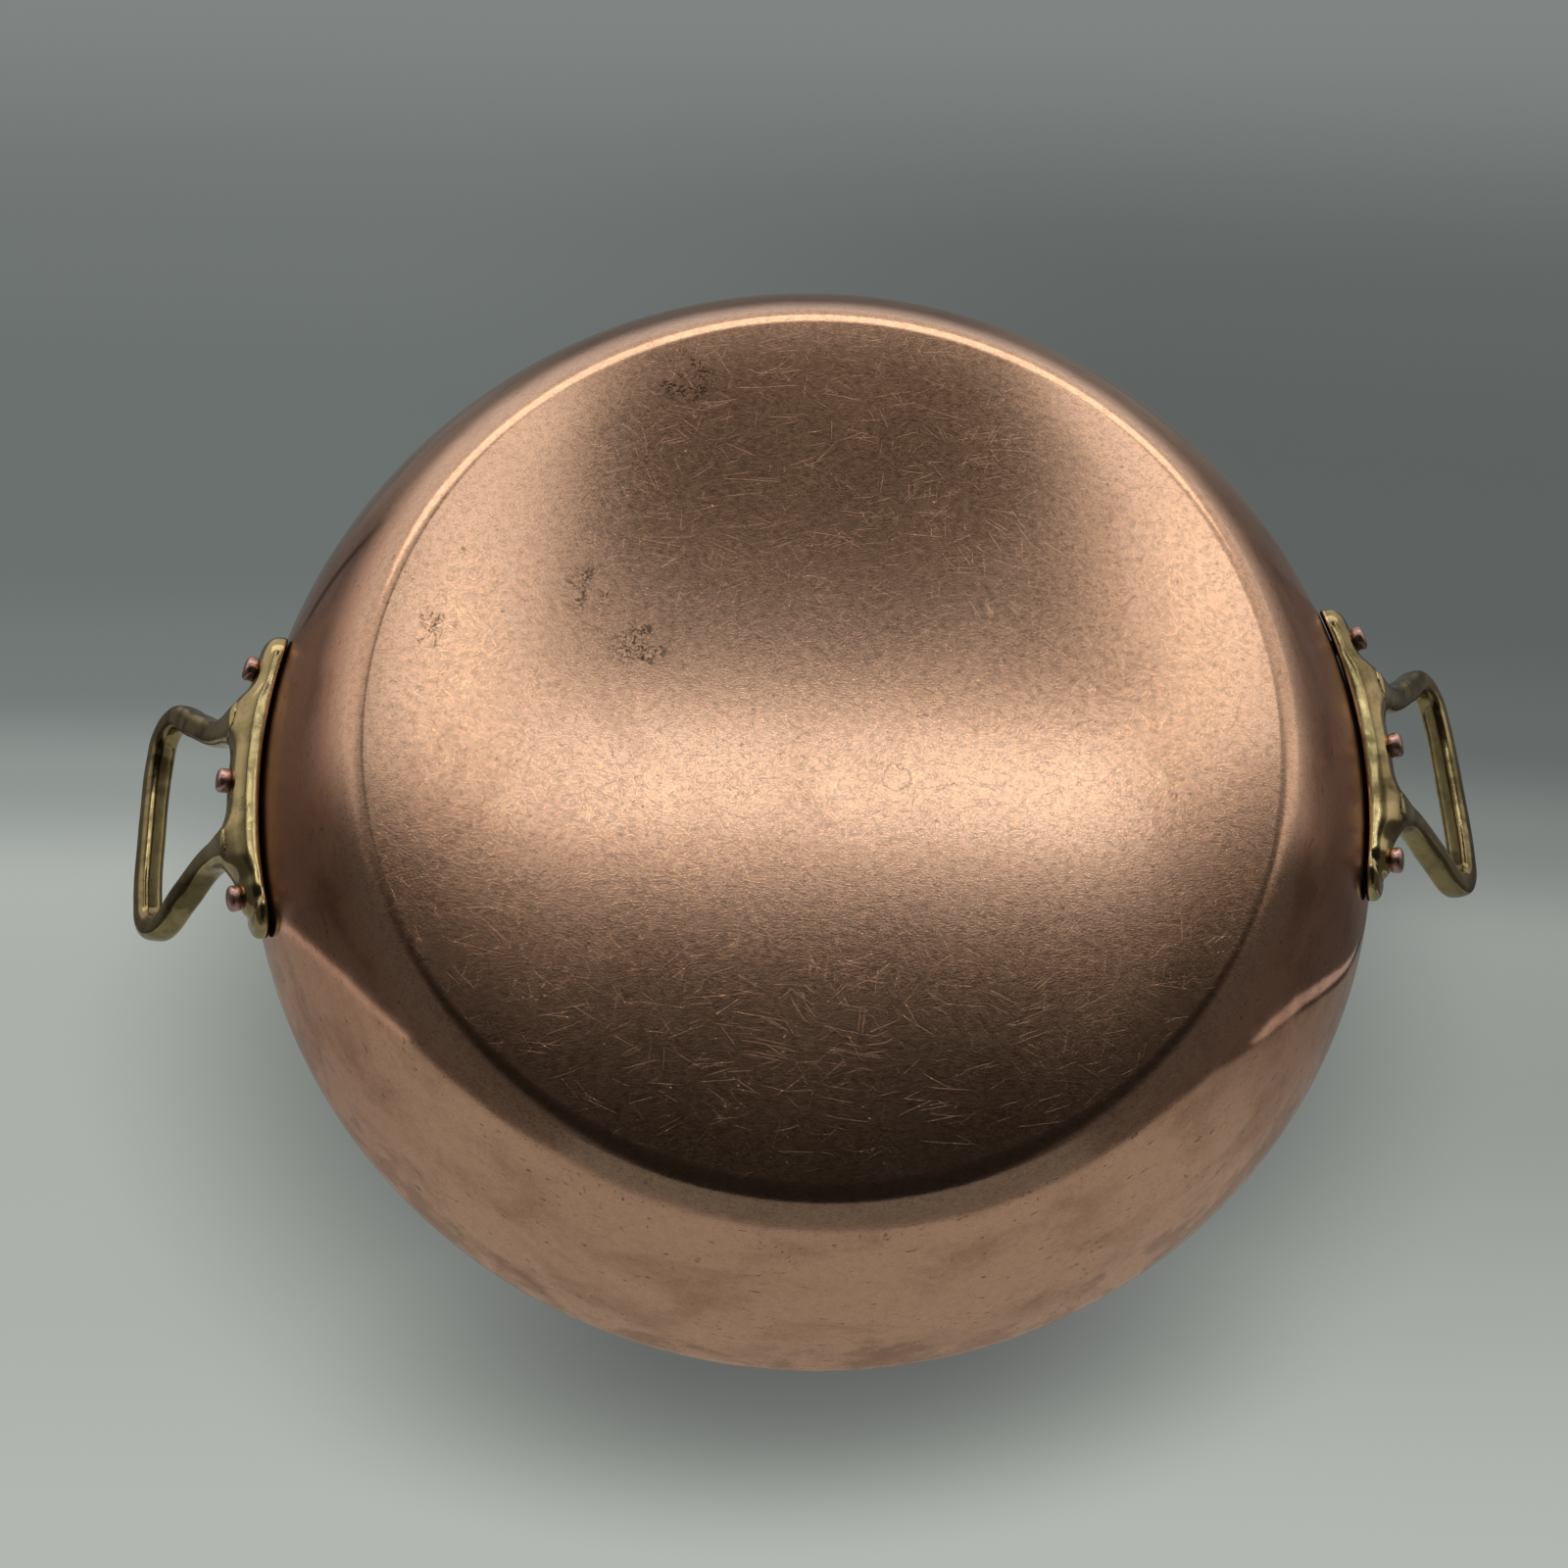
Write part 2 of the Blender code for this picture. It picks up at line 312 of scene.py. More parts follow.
FLANGE_EDGE = 0.0013
FLANGE_CROWN = 0.0052
TIP_THICKNESS = 0.0031
SEAM = 0.0003
BACK_LIFT = 0.0009
SEAT_THICKNESS = 0.0050
SEAT_FALL = 0.0060
UPPER_STEP = 0.0002
LOWER_STEP = 0.0048
LOOP_DEPTH = 0.0030
GRIP_BOW = 0.0013
LOOP_CORNER = 0.0085
ROOT_SPREAD = 0.0158
ROOT_STRAIGHT = 0.0140
ARM_RADIUS = 0.0035
ROOT_RADIUS = 0.0039
CAST_GRAIN = 0.00034
CAST_WAVER = 0.00007
WAVER_BROAD, WAVER_FINE, WAVER_SHARE = 95.0, 260.0, 0.35
FLANGE_STATIONS = 150
FLANGE_POINTS = 25
FLANGE_SWEEP = math.radians(86.0)
FLANGE_SHORT = 0.999
TIP_CROWN = 0.0022
BACK_CURL = 8
LOOP_STEPS = 12
LOOP_SIDES = 32
LOOP_SQUARENESS = 0.64
LOOP_FLATNESS = 0.97
FILLET_START, FILLET_EASE = 0.0012, 0.0020


def flange_mesh(wall, sign):
    """The flange alone: a crowned ridge with its back edges lifted off the wall. At the end that
    sign points away from, the ridge stops at a round shoulder and a thinner plate goes on."""
    sizes = handle_settings()
    end = sizes.height / 2.0
    fall = sizes.rivet_pitch - sizes.rivet_radius - SEAT_FALL
    bm = bmesh.new()
    rings = []
    reach = sizes.length / 2.0
    for k in range(FLANGE_STATIONS + 1):
        share = -1.0 + 2.0 * k / FLANGE_STATIONS
        along = reach * math.sin(share * FLANGE_SWEEP) / math.sin(FLANGE_SWEEP) * FLANGE_SHORT
        past = max(abs(along) - (reach - end), 0.0)
        half = math.sqrt(max(end * end - past * past, 1e-9))
        pad = sizes.thickness - (sizes.thickness - SEAT_THICKNESS) * smooth(
            (abs(along) - fall) / SEAT_FALL
        )
        upper = along * sign > 0
        step = UPPER_STEP if upper else LOWER_STEP
        pad_past = max(abs(along) - (reach - step - end), 0.0)
        plate = 0.0 if upper else smooth((abs(along) - (reach - step - end)) / end)
        front, back = [], []
        for i in range(FLANGE_POINTS):
            slope = math.sin(math.radians(-90.0 + 180.0 * i / (FLANGE_POINTS - 1)))
            up = half * slope
            inside = end - math.hypot(pad_past, up)
            rise = 1.0 - min(max(inside / FLANGE_CROWN, 0.0), 1.0)
            crown = math.sqrt(1.0 - rise * rise)
            out = FLANGE_EDGE + (pad - FLANGE_EDGE) * crown
            rise = 1.0 - min(max((end - math.hypot(past, up)) / TIP_CROWN, 0.0), 1.0)
            tip = FLANGE_EDGE + (TIP_THICKNESS - FLANGE_EDGE) * plate * math.sqrt(1.0 - rise * rise)
            front.append(bm.verts.new(wall.point(along, up, SEAM + max(out, tip))))
            lift = SEAM + BACK_LIFT * abs(slope) ** BACK_CURL
            back.append(bm.verts.new(wall.point(along, up, lift)))
        rings.append(front + back[::-1])
    swept_faces(bm, rings)
    return mesh_of(bm, "flange")


def loop_knots():
    """The loop's centreline as (out, side, radius), from one root round to the other."""
    sizes = handle_settings()
    reach = sizes.reach - GRIP_BOW - LOOP_CORNER
    width = sizes.half_width - LOOP_CORNER
    grip = sizes.grip_radius
    bend = []
    for angle in (90, 58, 30, 0):
        turn = math.radians(angle)
        bend.append(
            (reach + LOOP_CORNER * math.cos(turn), width + LOOP_CORNER * math.sin(turn), grip)
        )
    flare = ((ROOT_STRAIGHT + reach) / 2.0, (ROOT_SPREAD + sizes.half_width) / 2.0 + grip / 6.0)
    half = [
        (0.0, ROOT_SPREAD, ROOT_RADIUS),
        (ROOT_STRAIGHT / 2.0, ROOT_SPREAD, ROOT_RADIUS),
        (ROOT_STRAIGHT, ROOT_SPREAD + grip / 4.0, ARM_RADIUS),
        (*flare, ARM_RADIUS),
        *bend,
        (sizes.reach, 0.0, grip),
    ]
    return half + [(out, -side, radius) for out, side, radius in half[-2::-1]]


def through(knots, steps):
    """A smooth path of points through the knots, with tangents set by the neighbours' spacing."""
    points = [Vector(knot) for knot in knots]
    gaps = [(b - a).length for a, b in zip(points, points[1:])]
    slopes = []
    for i, point in enumerate(points):
        if i == 0:
            slopes.append((points[1] - point) / gaps[0])
        elif i == len(points) - 1:
            slopes.append((point - points[-2]) / gaps[-1])
        else:
            before, after = gaps[i - 1], gaps[i]
            slope = (
                (point - points[i - 1]) / before * after
                + (points[i + 1] - point) / after * before
            )
            slopes.append(slope / (before + after))
    path = []
    for i, gap in enumerate(gaps):
        for k in range(steps):
            t = k / steps
            path.append(
                points[i] * (2 * t**3 - 3 * t**2 + 1)
                + slopes[i] * gap * (t**3 - 2 * t**2 + t)
                + points[i + 1] * (-2 * t**3 + 3 * t**2)
                + slopes[i + 1] * gap * (t**3 - t**2)
            )
    path.append(points[-1])
    return path


def loop_mesh(wall):
    """The loop alone: a rounded square bar swept along its centreline in the leaning plane."""
    sizes = handle_settings()
    start = wall.point(0.0, 0.0, LOOP_DEPTH)
    outwards = Vector((math.cos(sizes.lean), 0.0, math.sin(sizes.lean)))
    sideways = Vector((0.0, 1.0, 0.0))
    square = outwards.cross(sideways)
    path = through(loop_knots(), LOOP_STEPS)
    bm = bmesh.new()
    rings = []
    for i, point in enumerate(path):
        before, after = path[max(i - 1, 0)], path[min(i + 1, len(path) - 1)]
        tangent = outwards * (after.x - before.x) + sideways * (after.y - before.y)
        across = tangent.normalized().cross(square)
        centre = start + outwards * point.x + sideways * point.y
        ring = []
        for k in range(LOOP_SIDES):
            angle = 2.0 * math.pi * k / LOOP_SIDES
            c, s = math.cos(angle), math.sin(angle)
            wide = math.copysign(abs(c) ** LOOP_SQUARENESS, c) * point.z
            deep = math.copysign(abs(s) ** LOOP_SQUARENESS, s) * point.z * LOOP_FLATNESS
            ring.append(bm.verts.new(centre + across * wide + square * deep))
        rings.append(ring)
    swept_faces(bm, rings)
    return mesh_of(bm, "loop")


def tree_of(mesh):
    return BVHTree.FromPolygons([v.co for v in mesh.vertices], [p.vertices for p in mesh.polygons])


def fill_fillets(mesh, wall, flange, loop, reach):
    """Raises the surface where flange and loop meet, as metal that ran into the corner."""
    amounts = []
    for vert in mesh.vertices:
        near_flange = flange.find_nearest(vert.co)[3]
        near_loop = loop.find_nearest(vert.co)[3]
        gap = max(reach - abs(near_flange - near_loop), 0.0)
        clear = smooth((wall.clearance(vert.co) - FILLET_START) / FILLET_EASE)
        amounts.append(gap * gap / (4.0 * reach) * clear)
    push_out(mesh, amounts)


def waver(mesh, amount, seed):
    """Slight unevenness of a hand-finished casting."""
    amounts = []
    for vert in mesh.vertices:
        place = vert.co * WAVER_BROAD + Vector((seed, 0.0, 0.0))
        fine = vert.co * WAVER_FINE + Vector((0.0, seed, 0.0))
        amounts.append(amount * (noise.noise(place) + WAVER_SHARE * noise.noise(fine)))
    push_out(mesh, amounts)


def note_gap(mesh, wall):
    """Keeps each vertex's distance from the wall, which the painted shade in the gap and the
    painted highlight beside it go by.
    """
    gap = mesh.attributes.new("wall_gap", "FLOAT", "POINT")
    for vert, value in zip(mesh.vertices, gap.data):
        value.value = wall.clearance(vert.co)


def keep_in_box(mesh, node):
    low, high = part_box(node)
    for vert in mesh.vertices:
        for axis in range(3):
            vert.co[axis] = min(max(vert.co[axis], low[axis]), high[axis])


def apply_modifiers(shape):
    evaluated = shape.evaluated_get(bpy.context.evaluated_depsgraph_get())
    mesh = bpy.data.meshes.new_from_object(evaluated)
    shape.modifiers.clear()
    old = shape.data
    shape.data = mesh
    bpy.data.meshes.remove(old)


def even_out(shape, rounds):
    even = shape.modifiers.new("Even", "SMOOTH")
    even.factor = 0.5
    even.iterations = rounds
    apply_modifiers(shape)


def cast_handle(name, turn, wall, look):
    sign = -1.0 if turn else 1.0
    flange, loop = flange_mesh(wall, sign), loop_mesh(wall)
    trees = tree_of(flange), tree_of(loop)
    bm = bmesh.new()
    bm.from_mesh(flange)
    bm.from_mesh(loop)
    mesh = mesh_of(bm, name)
    shape = add_piece(name, mesh)
    skin = shape.modifiers.new("Skin", "REMESH")
    skin.mode = "VOXEL"
    skin.voxel_size = CAST_GRAIN
    even_out(shape, 3)
    fill_fillets(shape.data, wall, *trees, handle_settings().fillet)
    even_out(shape, 5)
    waver(shape.data, CAST_WAVER, 3.0 + sign)
    shape.data.transform(Matrix.Rotation(turn, 4, "Z"))
    keep_in_box(shape.data, name.replace("cast_", "handle_"))
    note_gap(shape.data, wall)
    shade_smooth(shape.data)
    shape.data.materials.clear()
    shape.data.materials.append(look)
    for part in (flange, loop):
        bpy.data.meshes.remove(part)
    return shape


# Rivets

HEAD_SIDE = 0.56
SHANK_RADIUS = 0.0020
LINING_ROOM, TAIL_ROOM = 0.0028, 0.0006
TAIL_CURVE = ((0.0034, 0.0), (0.0035, 0.0003), (0.0031, 0.0008), (0.0024, 0.0011), (0.0, 0.0012))
RIVET_SIDES = 28
STRETCH_ROOM = 0.0046
UNEVENNESS = 0.03


def rivet_template():
    """One rivet, its head's seat at the origin and its shank running down to the flat tail."""
    sizes = handle_settings()
    head, high = sizes.rivet_radius, sizes.rivet_height
    side = high * HEAD_SIDE
    profile = [(0.0, high)]
    for angle in (80, 66, 52, 38, 24, 10):
        bend = math.radians(angle)
        profile.append((head * math.cos(bend) ** 0.5, side + (high - side) * math.sin(bend)))
    profile += [(head, side), (head * 0.99, side * 0.4), (head * 0.93, 0.0)]
    tail = -(SEAM + SEAT_THICKNESS + LINING_ROOM + TAIL_ROOM)
    profile += [(SHANK_RADIUS, 0.0), (SHANK_RADIUS, tail)]
    profile += [(radius, tail - drop) for radius, drop in TAIL_CURVE]
    return turned_mesh("rivet template", profile, RIVET_SIDES)


def rivet_tree():
    """Sets a rivet on each point, square to the wall there and slightly different each time."""
    tree = bpy.data.node_groups.new("Set rivets", "GeometryNodeTree")
    for label, kind, default in (
        ("Seats", "Geometry", None),
        ("Rivet", "Object", None),
        ("Material", "Material", None),
        ("Unevenness", "Float", 0.05),
        ("Seed", "Int", 7),
    ):
        kind = f"NodeSocket{kind}"
        socket = tree.interface.new_socket(label, in_out="INPUT", socket_type=kind)
        if default is not None:
            socket.default_value = default
    tree.interface.new_socket("Rivets", in_out="OUTPUT", socket_type="NodeSocketGeometry")
    net = Net(tree)
    given = net.read("NodeGroupInput")
    named = "GeometryNodeInputNamedAttribute"
    square, size = [
        net.add(named, {"Name": name}, data_type="FLOAT_VECTOR").outputs["Attribute"]
        for name in ("square", "size")
    ]
    aim = net.add("FunctionNodeAlignRotationToVector", {"Vector": square}, axis="Z")
    low, high = 1.0 - given["Unevenness"], 1.0 + given["Unevenness"]
    inputs = {2: low, 3: high, "Seed": given["Seed"]}
    vary = net.add("FunctionNodeRandomValue", inputs, data_type="FLOAT")
    shape = net.add("GeometryNodeObjectInfo", {"Object": given["Rivet"]})
    inputs = {
        "Points": given["Seats"],
        "Instance": shape.outputs["Geometry"],
        "Rotation": aim.outputs["Rotation"],
        "Scale": net.scaled(size, vary.outputs[1]),
    }
    place = net.add("GeometryNodeInstanceOnPoints", inputs)
    real = net.add("GeometryNodeRealizeInstances", {"Geometry": place.outputs["Instances"]})
    inputs = {"Geometry": real.outputs["Geometry"], "Material": given["Material"]}
    paint = net.add("GeometryNodeSetMaterial", inputs)
    net.add("NodeGroupOutput", {"Rivets": paint.outputs["Geometry"]})
    return tree


def set_rivets(name, turn, wall, template, tree, look):
    sizes = handle_settings()
    seats, squares = [], []
    for along in (-sizes.rivet_pitch, 0.0, sizes.rivet_pitch):
        thick = sizes.thickness if along == 0.0 else SEAT_THICKNESS
        seat = wall.point(along, 0.0, SEAM + thick)
        squares.append((wall.point(along, 0.0, 1.0) - wall.point(along, 0.0, 0.0)).normalized())
        seats.append(seat)
    mesh = bpy.data.meshes.new(name)
    mesh.from_pydata(seats, [], [])
    square = mesh.attributes.new("square", "FLOAT_VECTOR", "POINT")
    size = mesh.attributes.new("size", "FLOAT_VECTOR", "POINT")
    depth = (sizes.thickness - SEAT_THICKNESS) / (SEAM + SEAT_THICKNESS + STRETCH_ROOM)
    for i, way in enumerate(squares):
        square.data[i].vector = way
        size.data[i].vector = (1.0, 1.0, 1.0 + (depth if i == 1 else 0.0))
    shape = add_piece(name, mesh)
    setter = shape.modifiers.new("Set rivets", "NODES")
    setter.node_group = tree
    values = {
        "Rivet": template,
        "Material": look,
        "Unevenness": UNEVENNESS,
        "Seed": 11 if turn else 4,
    }
    for socket in tree.interface.items_tree:
        if socket.name in values and socket.in_out == "INPUT":
            setter[socket.identifier] = values[socket.name]
    apply_modifiers(shape)
    shape.data.transform(Matrix.Rotation(turn, 4, "Z"))
    shade_smooth(shape.data)
    return shape


# Node helpers


class Value:
    """A node's output that is added, subtracted and multiplied as a number is."""

    def __init__(self, net, socket):
        self.net = net
        self.socket = socket

    def __add__(self, other):
        return self.net.math("ADD", self, other)

    def __radd__(self, other):
        return self.net.math("ADD", other, self)

    def __sub__(self, other):
        return self.net.math("SUBTRACT", self, other)

    def __rsub__(self, other):
        return self.net.math("SUBTRACT", other, self)

    def __mul__(self, other):
        return self.net.math("MULTIPLY", self, other)

    def __abs__(self):
        return self.net.math("ABSOLUTE", self)


def socket_of(value):
    return value.socket if isinstance(value, Value) else value


class Net:
    """Adds and joins nodes of one tree."""

    def __init__(self, tree):
        self.tree = tree

    def add(self, kind, inputs=None, **settings):
        """A new node with its settings, then its inputs by name or number."""
        node = self.tree.nodes.new(kind)
        for key, value in settings.items():
            setattr(node, key, value)
        for name, value in (inputs or {}).items():
            self.feed(value, node.inputs[name])
        return node

    def link(self, source, target):
        self.tree.links.new(socket_of(source), target)

    def read(self, kind, inputs=None, **settings):
        """A new node's outputs by name."""
        return self.outputs(self.add(kind, inputs, **settings))

    def outputs(self, node):
        return {socket.name: Value(self, socket) for socket in node.outputs}

    def place(self):
        return self.read("ShaderNodeTexCoord")["Object"]

    def axes(self, vector):
        node = self.add("ShaderNodeSeparateXYZ", {0: vector})
        return [Value(self, socket) for socket in node.outputs]

    def scaled(self, vector, factor):
        inputs = {0: vector, "Scale": factor}
        return self.add("ShaderNodeVectorMath", inputs, operation="SCALE").outputs["Vector"]

    def distance(self, vector, spot):
        inputs = {0: vector, 1: (*spot, 0.0)}
        return self.read("ShaderNodeVectorMath", inputs, operation="DISTANCE")["Value"]

    def feed(self, value, socket):
        value = socket_of(value)
        if isinstance(value, bpy.types.NodeSocket):
            self.link(value, socket)
        else:
            socket.default_value = value

    def math(self, operation, first, second=0.0):
        node = self.add("ShaderNodeMath", {0: first, 1: second}, operation=operation)
        return Value(self, node.outputs[0])

    def ramp(self, value, low, high, start=0.0, end=1.0, kind="SMOOTHSTEP"):
        inputs = {"Value": value, "From Min": low, "From Max": high, "To Min": start, "To Max": end}
        node = self.add("ShaderNodeMapRange", inputs, interpolation_type=kind)
        return Value(self, node.outputs["Result"])

    def fade(self, value, low, high):
        return self.ramp(value, low, high, 1.0, 0.0)

    def share(self, value, low, high):
        return self.ramp(value, low, high, kind="LINEAR")

    def mix(self, factor, first, second, blend="MIX"):
        inputs = {0: factor, 6: first, 7: second}
        settings = {"data_type": "RGBA", "blend_type": blend, "clamp_factor": True}
        return self.add("ShaderNodeMix", inputs, **settings).outputs[2]

    def mapped(self, vector, scale=(1.0, 1.0, 1.0), turn=(0.0, 0.0, 0.0), shift=(0.0, 0.0, 0.0)):
        inputs = {"Vector": vector, "Scale": scale, "Rotation": turn, "Location": shift}
        return self.add("ShaderNodeMapping", inputs, vector_type="POINT").outputs["Vector"]

    def leaning(self, vector, lean, stretch, shift):
        """Coordinates turned by degrees, then stretched along the turned axes."""
        turned = self.mapped(vector, (1.0, 1.0, 1.0), (0.0, 0.0, math.radians(lean)), shift)
        return self.mapped(turned, stretch)

    def noise(self, vector, scale, detail=2.0, roughness=0.5, distortion=0.0):
        inputs = {"Vector": vector, "Scale": scale, "Detail": detail}
        inputs |= {"Roughness": roughness, "Distortion": distortion}
        return Value(self, self.add("ShaderNodeTexNoise", inputs).outputs[0])

    def group(self, tree, **inputs):
        return self.read("ShaderNodeGroup", inputs, node_tree=tree)


def new_group(name, amount, default, *results):
    """A group that takes a vector and one amount, and gives numbers."""
    tree = bpy.data.node_groups.new(name, "ShaderNodeTree")
    tree.interface.new_socket("Vector", in_out="INPUT", socket_type="NodeSocketVector")
    socket = tree.interface.new_socket(amount, in_out="INPUT", socket_type="NodeSocketFloat")
    socket.default_value = default
    for label in results:
        tree.interface.new_socket(label, in_out="OUTPUT", socket_type="NodeSocketFloat")
    net = Net(tree)
    return tree, net, net.read("NodeGroupInput"), net.add("NodeGroupOutput")


def wiping_group():
    """Short thin scratches from wiping, gently bent, in sets that lean differently."""
    tree, net, given, out = new_group("Wiping scratches", "Coverage", 0.5, "Mask")
    swirl = net.add("ShaderNodeTexNoise", {"Vector": given["Vector"], "Scale": 26.0, "Detail": 0.0})
    inputs = {0: swirl.outputs["Color"], 1: (0.012, 0.012, 0.0), 2: given["Vector"]}
    bend = net.add("ShaderNodeVectorMath", inputs, operation="MULTIPLY_ADD").outputs["Vector"]
    total = None
    sets = (
        (-11.0, 48.0, 4300.0), (4.0, 62.0, 4000.0), (17.0, 75.0, 4400.0),
        (38.0, 90.0, 4100.0), (-37.0, 82.0, 4200.0), (76.0, 105.0, 4500.0),
        (-64.0, 95.0, 3900.0),
    )
    for i, (lean, length, width) in enumerate(sets):
        stretch = (length, width, length)
        spot = net.leaning(bend, lean, stretch, (0.73 * i, 0.21 * i, 0.0))
        streak = net.noise(spot, 1.0, 0.0, 0.0, 0.0)
        edge = given["Coverage"] * -0.12 + 0.84
        line = net.ramp(streak, edge, edge + 0.05)
        total = line if total is None else net.math("MAXIMUM", total, line)
    net.link(total, out.inputs["Mask"])
    return tree


def grain_group():
    """Satin grain: short fibres that mostly lie level, thin broken cracks and soft clouds."""
    tree, net, given, out = new_group(
        "Satin grain", "Scale", 1.0, "Height", "Fibres", "Speckle", "Cracks", "Cloud"
    )
    spot = net.scaled(given["Vector"], given["Scale"])
    fibres = None
    for i, lean in enumerate((-14.0, 5.0, 27.0, -50.0)):
        turned = net.leaning(spot, lean, (480.0, 3900.0, 2100.0), (0.37 * i, 0.0, 0.0))
        fibre = net.noise(turned, 1.0, 1.5, 0.6)
        fibres = fibre if fibres is None else fibres + fibre
    net.link(net.share(fibres, 1.62, 2.38), out.inputs["Fibres"])
    crackle = net.noise(spot, 1900.0, 2.0, 0.6, 0.8)
    net.link(net.share(net.noise(spot, 2300.0, 1.0, 0.6), 0.36, 0.64), out.inputs["Speckle"])
    height = fibres * 0.26 + crackle * 0.42
    net.link(height, out.inputs["Height"])
    wavy = net.noise(
        net.leaning(spot, -6.0, (1050.0, 2600.0, 1600.0), (0.0, 0.0, 0.0)), 1.0, 2.0, 0.6, 0.9
    )
    line = net.fade(abs(wavy - 0.5), 0.010, 0.060)
    broken = net.ramp(net.noise(spot, 520.0, 3.0, 0.6), 0.44, 0.58)
    net.link(line * broken, out.inputs["Cracks"])
    net.link(net.noise(spot, 24.0, 4.0, 0.55, 0.3), out.inputs["Cloud"])
    return tree


def tarnish_group():
    """Brown mottling and small dark specks."""
    tree, net, given, out = new_group("Tarnish", "Spread", 0.5, "Mottle", "Specks")
    spot = given["Vector"]
    broad = net.noise(spot, 34.0, 5.0, 0.6, 0.6)
    edge = given["Spread"] * -0.22 + 0.66
    net.link(net.ramp(broad, edge, edge + 0.22), out.inputs["Mottle"])
    fine = net.noise(spot, 620.0, 3.0, 0.6, 0.0)
    where = net.noise(spot, 60.0, 3.0, 0.6, 0.0)
    both = net.ramp(fine, 0.60, 0.70) * net.ramp(where, 0.50, 0.68)
    net.link(both, out.inputs["Specks"])
    return tree


def grime_group():
    """Patches of darker metal that cloths didn't reach."""
    tree, net, given, out = new_group("Patchy grime", "Scale", 1.0, "Mask")
    rough = net.noise(given["Vector"], given["Scale"] * 190.0, 4.0, 0.6)
    net.link(net.ramp(rough, 0.42, 0.68), out.inputs["Mask"])
    return tree


def new_material(name):
    made = bpy.data.materials.new(name)
    made.use_nodes = True
    net = Net(made.node_tree)
    return made, net, made.node_tree.nodes["Principled BSDF"]


def colour4(colour, share=1.0):
    return (colour[0] * share, colour[1] * share, colour[2] * share, 1.0)


def bump(net, height, strength, distance, normal=None):
    inputs = {"Height": height, "Strength": strength, "Distance": distance}
    if normal is not None:
        inputs["Normal"] = normal
    return net.add("ShaderNodeBump", inputs).outputs["Normal"]


def radius_of(net, coordinates):
    """The three coordinates and the distance from the upright axis."""
    x, y, z = net.axes(coordinates)
    return x, y, z, net.math("SQRT", y * y + x * x)


STAINS = (
    (0.0527, 0.0322, 0.0085),
    (0.0406, 0.0184, 0.0095),
    (0.0292, 0.0874, 0.0100),
    (0.0881, 0.0234, 0.0070),
)
RING_STAIN = (-0.0152, -0.0162, 0.0030)


def stain_mask(net, coordinates):
    """Small etched marks on the base: broken wiggly lines inside a few soft patches."""
    squiggle = net.noise(coordinates, 420.0, 3.0, 0.55, 1.4)
    lines = net.fade(abs(squiggle - 0.5), 0.012, 0.050)
    total = None
    for x, y, reach in STAINS:
        patch = net.fade(net.distance(coordinates, (x, y)), reach * 0.35, reach)
        total = patch if total is None else net.math("MAXIMUM", total, patch)
    broken = net.ramp(net.noise(coordinates, 150.0, 2.0, 0.5), 0.42, 0.52)
    marks = lines * total * broken
    x, y, reach = RING_STAIN
    wobble = net.noise(coordinates, 330.0, 2.0, 0.6) * 0.0042 - 0.0021
    off = abs(net.distance(coordinates, (x, y)) + wobble - reach)
    return net.math("MAXIMUM", marks, net.ramp(off, 0.00004, 0.00024, 0.42, 0.0))


